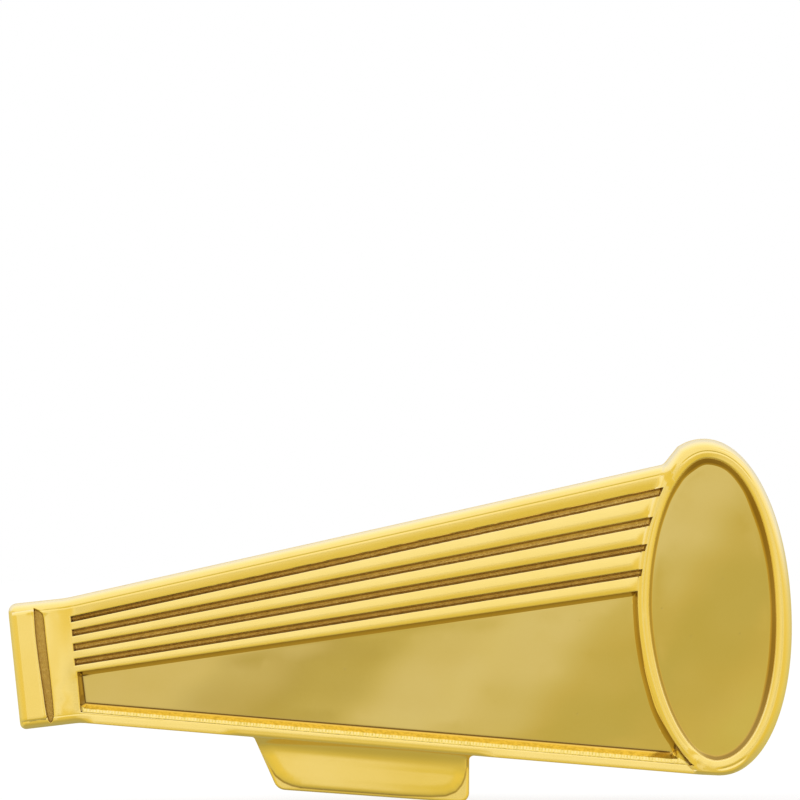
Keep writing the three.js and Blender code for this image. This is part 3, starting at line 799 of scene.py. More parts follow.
def front_triangles():
    """Plane points and anticlockwise triangles of the struck face."""
    sketch = Sketch()
    for draw in (sketch_edges, sketch_stripes, sketch_panel, sketch_bell, sketch_mouthpiece):
        draw(sketch)
    points = np.array(sketch.points)
    points = np.vstack([points, loose_points(points)])
    out = delaunay_2d_cdt([Vector(p) for p in points], sketch.edges, [], 0, 1e-5, False)
    points = np.array([(v[0], v[1]) for v in out[0]])
    triangles = np.array([f for f in out[2] if len(f) == 3], int)
    triangles = triangles[WHOLE.inside(points[triangles].mean(1)) > 0]
    areas = doubled_areas(points, triangles)
    triangles, areas = triangles[np.abs(areas) > 1e-9], areas[np.abs(areas) > 1e-9]
    triangles[areas < 0] = triangles[areas < 0][:, ::-1]
    keep, renumbered = np.unique(triangles, return_inverse=True)
    return points[keep], renumbered.reshape(triangles.shape)


def front_corners(points, triangles, solid, nearest):
    """Normals, and the surface masks with their painted shade, at face corners, taken a little
    inside each triangle.
    """
    corner = triangles.reshape(-1)
    centres = np.repeat(points[triangles].mean(1), 3, 0)
    sample = points[corner] * 0.94 + centres * 0.06
    near = {name: i[corner] for name, i in nearest.items()}
    reach = 2e-4
    slope_x, slope_z = ((relief(sample + step, near) - relief(sample - step, near))
                        / (2 * reach) for step in ([reach, 0], [0, reach]))
    steep = np.maximum(1.0, np.hypot(slope_x, slope_z) / 12.0)
    slope_x, slope_z = slope_x / steep, slope_z / steep
    normals = np.c_[-slope_x, -np.ones(len(slope_x)), -slope_z]
    normals /= np.linalg.norm(normals, axis=1)[:, None]
    # where the mesh face lies far from the surface it samples, follow the face
    a, b, c = (solid[triangles[:, i]] for i in range(3))
    flat = np.cross(b - a, c - a)
    flat /= np.maximum(np.linalg.norm(flat, axis=1), 1e-12)[:, None]
    flat[flat[:, 1] > 0] *= -1
    flat = np.repeat(flat, 3, 0)
    far = (normals * flat).sum(1) < math.cos(math.radians(38))
    normals[far] = flat[far]
    return normals, *surface_and_shade_masks(sample, near)


def border_of(triangles):
    """The boundary vertices in order."""
    edges = dict.fromkeys((t[i], t[(i + 1) % 3]) for t in triangles.tolist() for i in range(3))
    following = {a: b for a, b in edges if (b, a) not in edges}
    start = next(iter(following))
    ring, current = [start], following[start]
    while current != start and len(ring) < len(following) + 2:
        ring.append(current)
        current = following[current]
    return np.array(ring)


class Shell:
    """A mesh in the making, with a normal for every face corner."""

    def __init__(self, verts, faces, normals):
        self.verts, self.faces, self.normals = verts, faces, normals

    def add_face(self, corners, normals):
        self.faces.append(corners)
        self.normals.extend(normals)


# rows down the side: outset, then height = min(cap, share of the face's height + shift)
FREE = math.inf
SIDE_ROWS = [
    (0.004, FREE, 1, -0.02), (0.004, FREE, 0.55, 0.30), (0.004, 0.76, 1, -0.06),
    (0.022, 0.72, 1, -0.09), (0.024, 0.66, 1, -0.12), (0.020, FREE, 0, 0.35),
    (0.016, FREE, 0, 0.09), (0.002, FREE, 0, 0.035), (-0.035, FREE, 0, 0.004),
    (-0.075, FREE, 0, 0),
]


def add_side(shell, border, points, heights):
    """The side from the face's border down to the back; returns its last row."""
    along = np.roll(points, -1, 0) - np.roll(points, 1, 0)
    along /= np.linalg.norm(along, axis=1)[:, None]
    outward = np.c_[along[:, 1], -along[:, 0]]
    above, above_outset = border, 0.0
    for outset, cap, share, shift in SIDE_ROWS:
        below = np.arange(len(shell.verts), len(shell.verts) + len(points))
        for (x, z), y in zip(points + outward * outset,
                             np.minimum(cap, heights * share + shift)):
            shell.verts.append([x, -float(y), z])
        run = outset - above_outset
        for i in range(len(points)):
            j = (i + 1) % len(points)
            rise = shell.verts[below[i]][1] - shell.verts[above[i]][1]
            normals = []
            for k in (i, i, j, j):
                normal = np.array([outward[k][0] * rise, -run, outward[k][1] * rise])
                normals.append(list(normal / max(np.linalg.norm(normal), 1e-9)))
            shell.add_face([int(v) for v in (above[i], below[i], below[j], above[j])], normals)
        above, above_outset = below, outset
    return above


def circle(centre, radius, phase=0):
    x, z = centre
    angles = [2 * math.pi * (k + phase) / SEAT_SIDES for k in range(SEAT_SIDES)]
    return [(x + radius * math.cos(a), z + radius * math.sin(a)) for a in angles]


def closed_edges(base, count):
    return [(base + k, base + (k + 1) % count) for k in range(count)]


def add_back(shell, last):
    """The flat back, open at its seats; returns the seats' rim vertices."""
    count = len(last)
    points = [(shell.verts[i][0], shell.verts[i][2]) for i in last]
    edges = closed_edges(0, count)
    border = Loop(np.array(points), 0.5)
    # the second ring keeps the back's triangles clear of each seat
    for outset, phase in ((0.03, 0), (0.09, 0.5)):
        for post in POSTS.values():
            edges += closed_edges(len(points), SEAT_SIDES)
            points += circle(post, SEAT_RADIUS + outset, phase)

    def clear_of_seats(where, margin):
        return np.logical_and.reduce([
            np.hypot(where[:, 0] - x, where[:, 1] - z) > SEAT_RADIUS + margin
            for x, z in POSTS.values()])

    spacing = 0.8
    loose = np.array([(x, z) for z in np.arange(-7, 7.4, spacing)
                      for x in np.arange(-15.6, 15.9, spacing)])
    loose = loose[(WHOLE.inside(loose) > 0.4) & clear_of_seats(loose, 0.3)]
    points += [tuple(p) for p in loose]
    out = delaunay_2d_cdt([Vector(p) for p in points], edges, [], 0, 1e-6, True)
    flat = np.array([(v[0], v[1]) for v in out[0]])
    triangles = np.array([f for f in out[2] if len(f) == 3], int)
    centres = flat[triangles].mean(1)
    triangles = triangles[(border.inside(centres) > 0) & clear_of_seats(centres, 0.015)]
    areas = doubled_areas(flat, triangles)
    triangles, areas = triangles[np.abs(areas) > 1e-6], areas[np.abs(areas) > 1e-6]
    vertex, seat = {}, {}
    for i in map(int, np.unique(triangles)):
        source = out[3][i][0] if len(out[3][i]) else None
        if source is not None and source < count:
            vertex[i] = int(last[source])
            continue
        vertex[i] = len(shell.verts)
        shell.verts.append([flat[i][0], 0.0, flat[i][1]])
        if source is not None and source < count + len(POSTS) * SEAT_SIDES:
            seat[source] = vertex[i]
    for triangle, area in zip(triangles, areas):
        ordered = triangle if area < 0 else triangle[::-1]
        shell.add_face([vertex[int(i)] for i in ordered], [[0, 1, 0]] * 3)
    return [[seat[count + s * SEAT_SIDES + k] for k in range(SEAT_SIDES)]
            for s in range(len(POSTS))]


# rows of a seat: radius, depth, then the normal's outward and y parts
SEAT_ROWS = [
    (SEAT_RADIUS, 0.02, -0.7, 0.7), (SEAT_RADIUS, SEAT_DEPTH - 0.03, -1, 0),
    (SEAT_RADIUS - 0.03, SEAT_DEPTH, -0.7, 0.7),
]


def add_seat(shell, rim, post):
    """The shallow round seat sunk in the back for a post's pad."""
    above = rim
    for radius, depth, outward, up in SEAT_ROWS:
        below = list(range(len(shell.verts), len(shell.verts) + SEAT_SIDES))
        shell.verts += [[x, -depth, z] for x, z in circle(post, radius)]
        for k in range(SEAT_SIDES):
            j = (k + 1) % SEAT_SIDES
            angles = [2 * math.pi * i / SEAT_SIDES for i in (k, k, j, j)]
            shell.add_face([above[k], below[k], below[j], above[j]],
                           [[outward * math.cos(a), up, outward * math.sin(a)] for a in angles])
        above = below
    shell.add_face(above[::-1], [[0, 1, 0]] * SEAT_SIDES)


def add_to_scene(name, data):
    ob = bpy.data.objects.new(name, data)
    bpy.context.scene.collection.objects.link(ob)
    return ob


def build_face():
    points, triangles = front_triangles()
    nearest = nearest_pieces(points)
    heights = relief(points, nearest)
    solid = np.c_[points[:, 0], -heights, points[:, 1]]
    normals, surface_and_shade, handle = front_corners(points, triangles, solid, nearest)
    shell = Shell(solid.tolist(), triangles.tolist(), normals.tolist())
    border = border_of(triangles)
    last = add_side(shell, border, points[border], heights[border])
    for rim, post in zip(add_back(shell, last), POSTS.values()):
        add_seat(shell, rim, post)
    me = bpy.data.meshes.new("face_struck")
    me.from_pydata([(x * MM, y * MM, z * MM) for x, y, z in shell.verts], [], shell.faces)
    me.update()
    # surface masks: mirror, recess, wall, tool marks, the last three carrying painted shade too;
    # side: handle, then side and back
    fin = np.zeros((len(shell.normals), 4), np.float32)
    side = np.zeros_like(fin)
    fin[:len(surface_and_shade)] = surface_and_shade
    side[:len(handle), 0] = handle
    side[len(handle):, 1] = 1
    for name, values in (("fin", fin), ("side", side)):
        attribute = me.color_attributes.new(name, "FLOAT_COLOR", "CORNER")
        attribute.data.foreach_set("color", values.ravel())
    me.shade_smooth()
    me.normals_split_custom_set([tuple(v) for v in shell.normals])
    return add_to_scene("face_struck", me)


# ------------------------------------------------------------------ turned and bent pieces

def place(end):
    """From a clutch's own axes (x along its wings, y off the cloth) to the frame, in metres."""
    x, z = POSTS[end]
    turn = math.radians(TURN[end])
    cos, sin = math.cos(turn), math.sin(turn)
    return Matrix(((cos, 0, sin, x * MM), (0, 1, 0, CLOTH * MM), (-sin, 0, cos, z * MM),
                   (0, 0, 0, 1)))


def make_object(name, verts, faces, matrix=None):
    me = bpy.data.meshes.new(name)
    me.from_pydata([tuple(c * MM for c in v) for v in verts], [], faces)
    if matrix is not None:
        me.transform(matrix)
    me.update()
    me.shade_smooth()
    return add_to_scene(name, me)


def fix_normals(ob):
    bm = bmesh.new()
    bm.from_mesh(ob.data)
    bmesh.ops.remove_doubles(bm, verts=bm.verts, dist=1e-8)
    bmesh.ops.recalc_face_normals(bm, faces=bm.faces)
    bm.to_mesh(ob.data)
    bm.free()
    ob.data.update()


def finish_object(ob, sharp=40):
    """Outward normals, smooth but for edges sharper than so many degrees."""
    fix_normals(ob)
    ob.data.shade_smooth()
    ob.data.set_sharp_from_angle(angle=math.radians(sharp))
    return ob


def thicken(ob, edge):
    """Turns a surface into sheet brass with softened edges."""
    fix_normals(ob)
    solid = ob.modifiers.new("thick", "SOLIDIFY")
    solid.thickness, solid.offset, solid.use_even_offset = STRIP_THICKNESS * MM, 0.0, True
    bevel = ob.modifiers.new("soft", "BEVEL")
    bevel.width, bevel.segments = edge * MM, 2
    bevel.limit_method, bevel.angle_limit = "ANGLE", math.radians(50)
    depsgraph = bpy.context.evaluated_depsgraph_get()
    me = bpy.data.meshes.new_from_object(ob.evaluated_get(depsgraph), depsgraph=depsgraph)
    ob.modifiers.clear()
    old = ob.data
    ob.data = me
    me.name = ob.name
    bpy.data.meshes.remove(old)


def lathe(stations, turn, sides, closed=True):
    """Verts and faces turned from (radius, y, corner radius) stations about the y axis."""
    line = round_corners(stations, turn)
    keep = [line[0]]
    for point in line[1:]:
        if np.hypot(*(point - keep[-1])) > 1e-5:
            keep.append(point)
    verts, faces, rows = [], [], []
    for radius, y in keep:
        count = 1 if radius < 1e-6 else sides
        rows.append(list(range(len(verts), len(verts) + count)))
        if count == 1:
            verts.append((0, y, 0))
            continue
        for k in range(sides):
            angle = 2 * math.pi * k / sides
            verts.append((radius * math.cos(angle), y, radius * math.sin(angle)))
    for i in range(len(rows) if closed else len(rows) - 1):
        low, high = rows[i], rows[(i + 1) % len(rows)]
        for k in range(sides):
            j = (k + 1) % sides
            quad = [low[k % len(low)], low[j % len(low)],
                    high[j % len(high)], high[k % len(high)]]
            # a row of one vertex on the axis leaves a triangle
            faces.append(list(dict.fromkeys(quad)))
    return verts, faces


POST_PROFILE = [
    (0.0, -SEAT_DEPTH, 0), (PAD_RADIUS - 0.02, -SEAT_DEPTH, 0.02),
    (PAD_RADIUS, -SEAT_DEPTH + 0.04, 0.02), (PAD_RADIUS, PAD_TOP, 0.09),
    (1.30, PAD_TOP, 0.10), (1.24, PAD_TOP - 0.035, 0.05), (1.10, PAD_TOP - 0.035, 0.05),
    (1.04, PAD_TOP, 0.08), (0.55, PAD_TOP, 0.20), (0.55, 4.15, 0.05), (0.42, 4.26, 0.05),
    (0.42, 4.54, 0.05), (0.55, 4.65, 0.05), (0.55, 6.0, 0.5), (0.09, 6.99, 0.05), (0.0, 7.0, 0),
]
DISC_PROFILE = [
    (0.66, 0.30, 0.05), (0.66, 0.20, 0.04), (0.90, 0.0, 0.10), (4.72, 0.0, 0.25),
    (5.0, 0.14, 0.22), (5.0, 0.90, 0.245), (4.50, 0.90, 0.235), (4.50, 0.36, 0.16),
    (4.28, 0.32, 0.05), (4.22, 0.38, 0.05), (4.08, 0.38, 0.05), (4.02, 0.32, 0.05),
    (0.72, 0.32, 0.04),
]
FOOT_PROFILE = [
    (0.66, 0.36, 0.05), (3.90, 0.36, 0.10), (3.90, 0.64, 0.13), (3.62, 0.64, 0.05),
    (3.56, 0.60, 0.05), (3.44, 0.60, 0.05), (3.38, 0.64, 0.05), (0.66, 0.64, 0.07),
]


def build_post(end):
    """The pad and its pin, grooved and pointed."""
    post_x, post_z = POSTS[end]
    # both ends lie on the axis, so the profile stays open there
    verts, faces = lathe(POST_PROFILE, 0.28, sides=96, closed=False)
    verts = [(x + post_x, y, z + post_z) for x, y, z in verts]
    return finish_object(make_object("post_turned_" + end, verts, faces))


def build_solder(end):
    """A concave fillet between pad and back, its thickness varying round the pad."""
    post_x, post_z = POSTS[end]
    sides, arc_points = 144, 14
    verts, faces = [], []
    for k in range(sides):
        angle = 2 * math.pi * k / sides
        wobble = (1 + 0.20 * math.sin(2 * angle + post_x)
                  + 0.12 * math.sin(3 * angle + 1.1 * post_z) + 0.04 * math.sin(7 * angle))
        width, height = 0.17 * wobble, 0.15 * (1 + 0.18 * math.sin(2 * angle + 0.7))
        section = []
        for i in range(arc_points):
            t = i / (arc_points - 1)
            y = height * (0.75 * (1 - math.sin(t * math.pi / 2)) + 0.25 * math.sqrt(1 - t * t))
            section.append((-0.01 + width * (1 - math.cos(t * math.pi / 2)) + 0.10 * t,
                            y - 0.006 * (t > 0.999)))
        section += [(0.095, -0.06), (0.06, -0.105), (-0.01, -0.105)]
        for outset, y in section:
            radius = PAD_RADIUS + outset
            verts.append((post_x + radius * math.cos(angle), y,
                          post_z + radius * math.sin(angle)))
    row = len(section)
    for k in range(sides):
        j = (k + 1) % sides
        for i in range(row):
            after = (i + 1) % row
            faces.append([k * row + i, k * row + after, j * row + after, j * row + i])
    return finish_object(make_object("solder_fillet_" + end, verts, faces), 50)


def build_disc(end):
    verts, faces = lathe(DISC_PROFILE, 0.30, sides=160)
    return finish_object(make_object("clutch_disc_" + end, verts, faces, place(end)))


# the housing's tower: half sizes, corner radius, the (y, outset) rows of its flared foot
TOWER_X, TOWER_Z, TOWER_CORNER = 1.66, 2.26, 0.41
TOWER_FOOT = [(0.50, 0.34), (0.53, 0.22), (0.59, 0.12), (0.70, 0.045), (0.80, 0.01), (0.90, 0.0)]
TOWER_SHOULDER, TOWER_BEND, TOWER_TOP = 4.08, 0.23, 4.31
# dimple in its top: radius, y
DIMPLE = [(0.86, TOWER_TOP), (0.80, 4.305), (0.74, 4.28), (0.68, 4.25), (0.60, 4.238),
          (0.35, 4.235)]


def tower_loop(outset):
    """64 points round the tower: nine to a corner, seven to a straight."""
    half_x, half_z = TOWER_X + outset, TOWER_Z + outset
    radius = max(TOWER_CORNER + outset, 0.02)
    in_x, in_z = half_x - radius, half_z - radius
    out = []
    # corner centre, start angle, and the end of the straight that follows
    for x, z, start, straight_end in (
            (in_x, in_z, 0, (-in_x, half_z)), (-in_x, in_z, 90, (-half_x, -in_z)),
            (-in_x, -in_z, 180, (in_x, -half_z)), (in_x, -in_z, 270, (half_x, in_z))):
        for k in range(9):
            angle = math.radians(start + 90 * k / 8)
            out.append((x + radius * math.cos(angle), z + radius * math.sin(angle)))
        corner = np.array(out[-1])
        out += [tuple(corner + (np.array(straight_end) - corner) * k / 8) for k in range(1, 8)]
    return out


def tower_surface():
    """The tower's surface, open on its two x sides, with a dimple in its top."""
    rows = TOWER_FOOT + [(float(y), 0.0) for y in np.linspace(0.90, 3.75, 13)[1:]]
    open_rows = range(len(TOWER_FOOT) - 1, len(rows) - 1)
    rows += [(3.86, 0.0), (3.98, 0.0), (TOWER_SHOULDER, 0.0)]
    for k in range(1, 7):
        angle = math.radians(90 * k / 6)
        rows.append((TOWER_SHOULDER + TOWER_BEND * math.sin(angle),
                     -TOWER_BEND * (1 - math.cos(angle))))
    rows += [(TOWER_TOP, -0.45), (TOWER_TOP, -0.62)]
    plan = tower_loop(0)
    count = len(plan)

    def in_opening(k, j):
        return (max(abs(plan[k][1]), abs(plan[j][1])) < 1.945
                and min(abs(plan[k][0]), abs(plan[j][0])) > 1.2)

    verts, faces = [], []
    for i, (y, outset) in enumerate(rows):
        loop = tower_loop(outset)
        verts += [(x, y, z) for x, z in loop]
        if i == len(rows) - 1:
            break
        low, high = i * count, (i + 1) * count
        for k in range(count):
            j = (k + 1) % count
            if not (i in open_rows and in_opening(k, j)):
                faces.append([low + k, low + j, high + j, high + k])
    angles = [math.atan2(z / (TOWER_Z - 0.6), x / (TOWER_X - 0.6)) for x, z in loop]
    for radius, y in DIMPLE:
        base = len(verts)
        verts += [(radius * math.cos(a), y, radius * math.sin(a)) for a in angles]
        for k in range(count):
            j = (k + 1) % count
            faces.append([base - count + k, base - count + j, base + j, base + k])
    centre = len(verts)
    verts.append((0, DIMPLE[-1][1], 0))
    for k in range(count):
        faces.append([centre - count + k, centre - count + (k + 1) % count, centre])
    return verts, faces


def build_housing(end):
    """The pressed housing: a tower on a round foot."""
    tower = make_object("tmp_tower", *tower_surface())
    thicken(tower, edge=0.045)
    verts = [tuple(c / MM for c in v.co) for v in tower.data.vertices]
    faces = [list(p.vertices) for p in tower.data.polygons]
    bpy.data.objects.remove(tower)
    foot_verts, foot_faces = lathe(FOOT_PROFILE, 0.30, sides=128)
    faces += [[i + len(verts) for i in face] for face in foot_faces]
    verts += foot_verts
    name = "clutch_housing_pressed_" + end
    return finish_object(make_object(name, verts, faces, place(end)))


# centre line of a wing, from the post outwards: x, y, bend radius
WING_PATH = [
    (0.15, 1.20, 0), (0.95, 1.22, 0.24), (1.22, 1.50, 0.24), (1.26, 2.55, 0.22),
    (1.50, 2.95, 0.45), (2.10, 3.15, 0.9), (3.20, 3.45, 2.2), (4.30, 4.00, 2.2),
    (5.05, 4.62, 1.2), (5.42, 5.10, 0),
]
WING_HALF, WING_TIP, WING_TIP_RADIUS = 1.8, 1.25, 1.25  # half width, rounded tip's length
POST_BITE = 0.62  # radius of the notch round the post


def wing_line():
    """The wing's centre line with its bends rounded."""
    points = [np.array(p[:2]) for p in WING_PATH]
    line = [points[0]]
    for i in range(1, len(points) - 1):
        point = points[i]
        back, ahead = points[i - 1] - point, points[i + 1] - point
        back_length, ahead_length = np.linalg.norm(back), np.linalg.norm(ahead)
        back, ahead = back / back_length, ahead / ahead_length
        angle = math.acos(max(-1, min(1, float(back @ ahead))))
        cut = min(WING_PATH[i][2] / math.tan(angle / 2), 0.46 * back_length,
                  0.46 * ahead_length)
        start, end = point + back * cut, point + ahead * cut
        for k in range(7):
            t = k / 6
            line.append((1 - t) ** 2 * start + 2 * t * (1 - t) * point + t * t * end)
    return np.array(line + [points[-1]])


def build_wing(end, which):
    """One spring wing: a along +x of the clutch, b its mirror."""
    path = wing_line()
    run = np.r_[0, np.cumsum(np.hypot(*(path[1:] - path[:-1]).T))]
    tip_start = run[-1] - WING_TIP
    # even steps, then closer ones where the plan rounds off
    stations = np.r_[np.linspace(0, tip_start, 60)[:-1],
                     run[-1] - WING_TIP * np.cos(np.linspace(0, math.pi / 2, 16))]
    centre = np.c_[np.interp(stations, run, path[:, 0]), np.interp(stations, run, path[:, 1])]
    tangent = np.gradient(centre, axis=0)
    tangent /= np.linalg.norm(tangent, axis=1)[:, None]
    normal = np.c_[-tangent[:, 1], tangent[:, 0]]
    first_x, shelf_x = WING_PATH[0][0], WING_PATH[1][0]
    across = 25
    verts, faces = [], []
    for i, station in enumerate(stations):
        over = max(0.0, station - tip_start)
        half = WING_HALF
        if over > 0:
            half += (math.sqrt(max(WING_TIP_RADIUS ** 2 - over * over, 0.0))
                     - WING_TIP_RADIUS)
        for j in range(across):
            z = half * (-1 + 2 * j / (across - 1))
            x, y = centre[i]
            # stiffening rib down the middle of the wing
            rib = ease(2.35, 2.9, x) * ease(4.75, 4.2, x)
            rise = 0.13 * rib * math.exp(-(z / 0.36) ** 2 * 1.4)
            x, y = x + normal[i][0] * rise, y + normal[i][1] * rise
            if station < 0.7 and centre[i][0] < shelf_x:
                edge = max(first_x, math.sqrt(max(POST_BITE ** 2 - z * z, 0.0)))
                share = (shelf_x - edge) / (shelf_x - first_x)
                x = edge + (centre[i][0] - first_x) * share
            verts.append((x, y, z))
    for i in range(len(stations) - 1):
        for j in range(across - 1):
            a = i * across + j
            faces.append([a, a + 1, a + across + 1, a + across])
    if which == "b":
        verts = [(-x, y, -z) for x, y, z in verts]
    ob = make_object("clutch_spring_%s_%s" % (which, end), verts, faces)
    thicken(ob, edge=0.05)
    ob.data.transform(place(end))
    return finish_object(ob, 42)


# ------------------------------------------------------------------ shader graphs

class Graph:
    """Short ways to add shader nodes; every value may be a number or another node's output."""

    def __init__(self, tree):
        self.tree = tree
        tree.nodes.clear()

    def node(self, kind, inputs=None, **settings):
        node = self.tree.nodes.new("ShaderNode" + kind)
        for name, value in settings.items():
            setattr(node, name, value)
        for socket, value in (inputs or {}).items():
            self.put(node.inputs[socket], value)
        return node

    def put(self, socket, value):
        if isinstance(value, bpy.types.NodeSocket):
            self.tree.links.new(value, socket)
            return
        if socket.type == "RGBA" and len(value) == 3:
            value = (*value, 1.0)
        socket.default_value = value

    def math(self, operation, *values, clamp=False):
        node = self.node("Math", dict(enumerate(values)), operation=operation, use_clamp=clamp)
        return node.outputs[0]

    def plus(self, a, b, **options):
        return self.math("ADD", a, b, **options)

    def minus(self, a, b):
        return self.math("SUBTRACT", a, b)

    def times(self, a, b, **options):
        return self.math("MULTIPLY", a, b, **options)

    def mix(self, factor, a, b):
        """Mixes colours."""
        node = self.node("Mix", data_type="RGBA", clamp_factor=True)
        for i, value in ((0, factor), (6, a), (7, b)):
            self.put(node.inputs[i], value)
        return node.outputs[2]

    def mix_value(self, factor, a, b):
        return self.node("Mix", {0: factor, 2: a, 3: b}, data_type="FLOAT").outputs[0]

    def remap(self, value, span, to=(0, 1)):
        return self.node("MapRange", {
            "Value": value, "From Min": span[0], "From Max": span[1],
            "To Min": to[0], "To Max": to[1]}, clamp=True).outputs[0]

    def coords(self, scale=(1000, 1000, 1000), rotation=(0, 0, 0)):
        """Object coordinates, in mm unless scaled otherwise."""
        source = self.node("TexCoord").outputs["Object"]
        return self.node("Mapping", {"Scale": scale, "Rotation": rotation,
                                     "Vector": source}).outputs[0]

    def noise(self, vector, scale, detail=2.0, roughness=0.5):
        return self.node("TexNoise", {"Vector": vector, "Scale": scale, "Detail": detail,
                                      "Roughness": roughness}).outputs[0]

    def channels(self, color):
        return self.node("SeparateColor", {0: color}).outputs

    def ramp(self, factor, stops):
        node = self.node("ValToRGB")
        node.color_ramp.interpolation = "LINEAR"
        elements = node.color_ramp.elements
        while len(elements) > 1:
            elements.remove(elements[-1])
        elements[0].position = stops[0][0]
        elements[0].color = (*stops[0][1], 1)
        for position, color in stops[1:]:
            elements.new(position).color = (*color, 1)
        self.put(node.inputs[0], factor)
        return node.outputs[0]

    def bump(self, height, strength, distance):
        return self.node("Bump", {"Strength": strength, "Distance": distance,
                                  "Height": height}).outputs[0]


def new_material(name):
    material = bpy.data.materials.new(name)
    material.use_nodes = True
    graph = Graph(material.node_tree)
    return material, graph, graph.node("OutputMaterial")


def new_metal(name):
    material, graph, output = new_material(name)
    shader = graph.node("BsdfPrincipled", {"Metallic": 1.0})
    graph.put(output.inputs[0], shader.outputs[0])
    return material, graph, shader.inputs


# ------------------------------------------------------------------ materials

def metal(name, color, rough, satin=0.0):
    """Cloudy bare metal with fine streaks; satin deepens its grain."""
    material, graph, shader = new_metal(name)
    mm = graph.coords()
    cloud = graph.noise(mm, scale=0.55, detail=3)
    grain = graph.noise(mm, scale=14.0, detail=4, roughness=0.6)
    # drawing and rolling marks
    streak = graph.noise(graph.coords(scale=(1200, 60000, 1200), rotation=(0.2, 0.1, 0.3)), 1.0)
    dark = tuple(c * share for c, share in zip(color, (0.86, 0.80, 0.70)))
    clouded = graph.remap(cloud, (0.35, 0.75), to=(0, 0.55))
    graph.put(shader["Base Color"], graph.mix(clouded, color, dark))
    graph.put(shader["Roughness"], graph.plus(
        graph.remap(grain, (0.3, 0.8), to=(rough * 0.8, rough * 1.25)),
        graph.remap(cloud, (0.4, 0.7), to=(0.0, 0.05))))
    height = graph.plus(graph.times(streak, 0.5), graph.times(grain, 0.6))
    graph.put(shader["Normal"], graph.bump(height, strength=0.25 + satin,
                                           distance=0.004 * MM))
    return material


# plating colours, with painted shade, a painted reflection and a painted sheen among them
GOLD, GOLD_DEEP = (0.985, 0.770, 0.262), (0.965, 0.742, 0.225)
# painted shade: dark brown for the walls, and a darker brown along the grooves' edges
WALL_SHADE, RECESS_EDGE_SHADE = (0.245, 0.150, 0.040), (0.31, 0.175, 0.035)
# darker, redder golds painted into the grooves' floors as shade
RECESS_FLOOR_SHADE = (0.86, 0.60, 0.18), (0.62, 0.40, 0.11)
# darker golds for the tool-marked wall: painted shade in its marks and a painted reflection of
# the gold floor
TOOLED_SHADE = (0.88, 0.67, 0.145), (0.66, 0.485, 0.085)
# the first, a pale gold, is a painted sheen
PAINTED_SHEEN, BACK_GOLD, PIT_BROWN = (0.96, 0.86, 0.60), (0.93, 0.70, 0.24), (0.62, 0.44, 0.12)


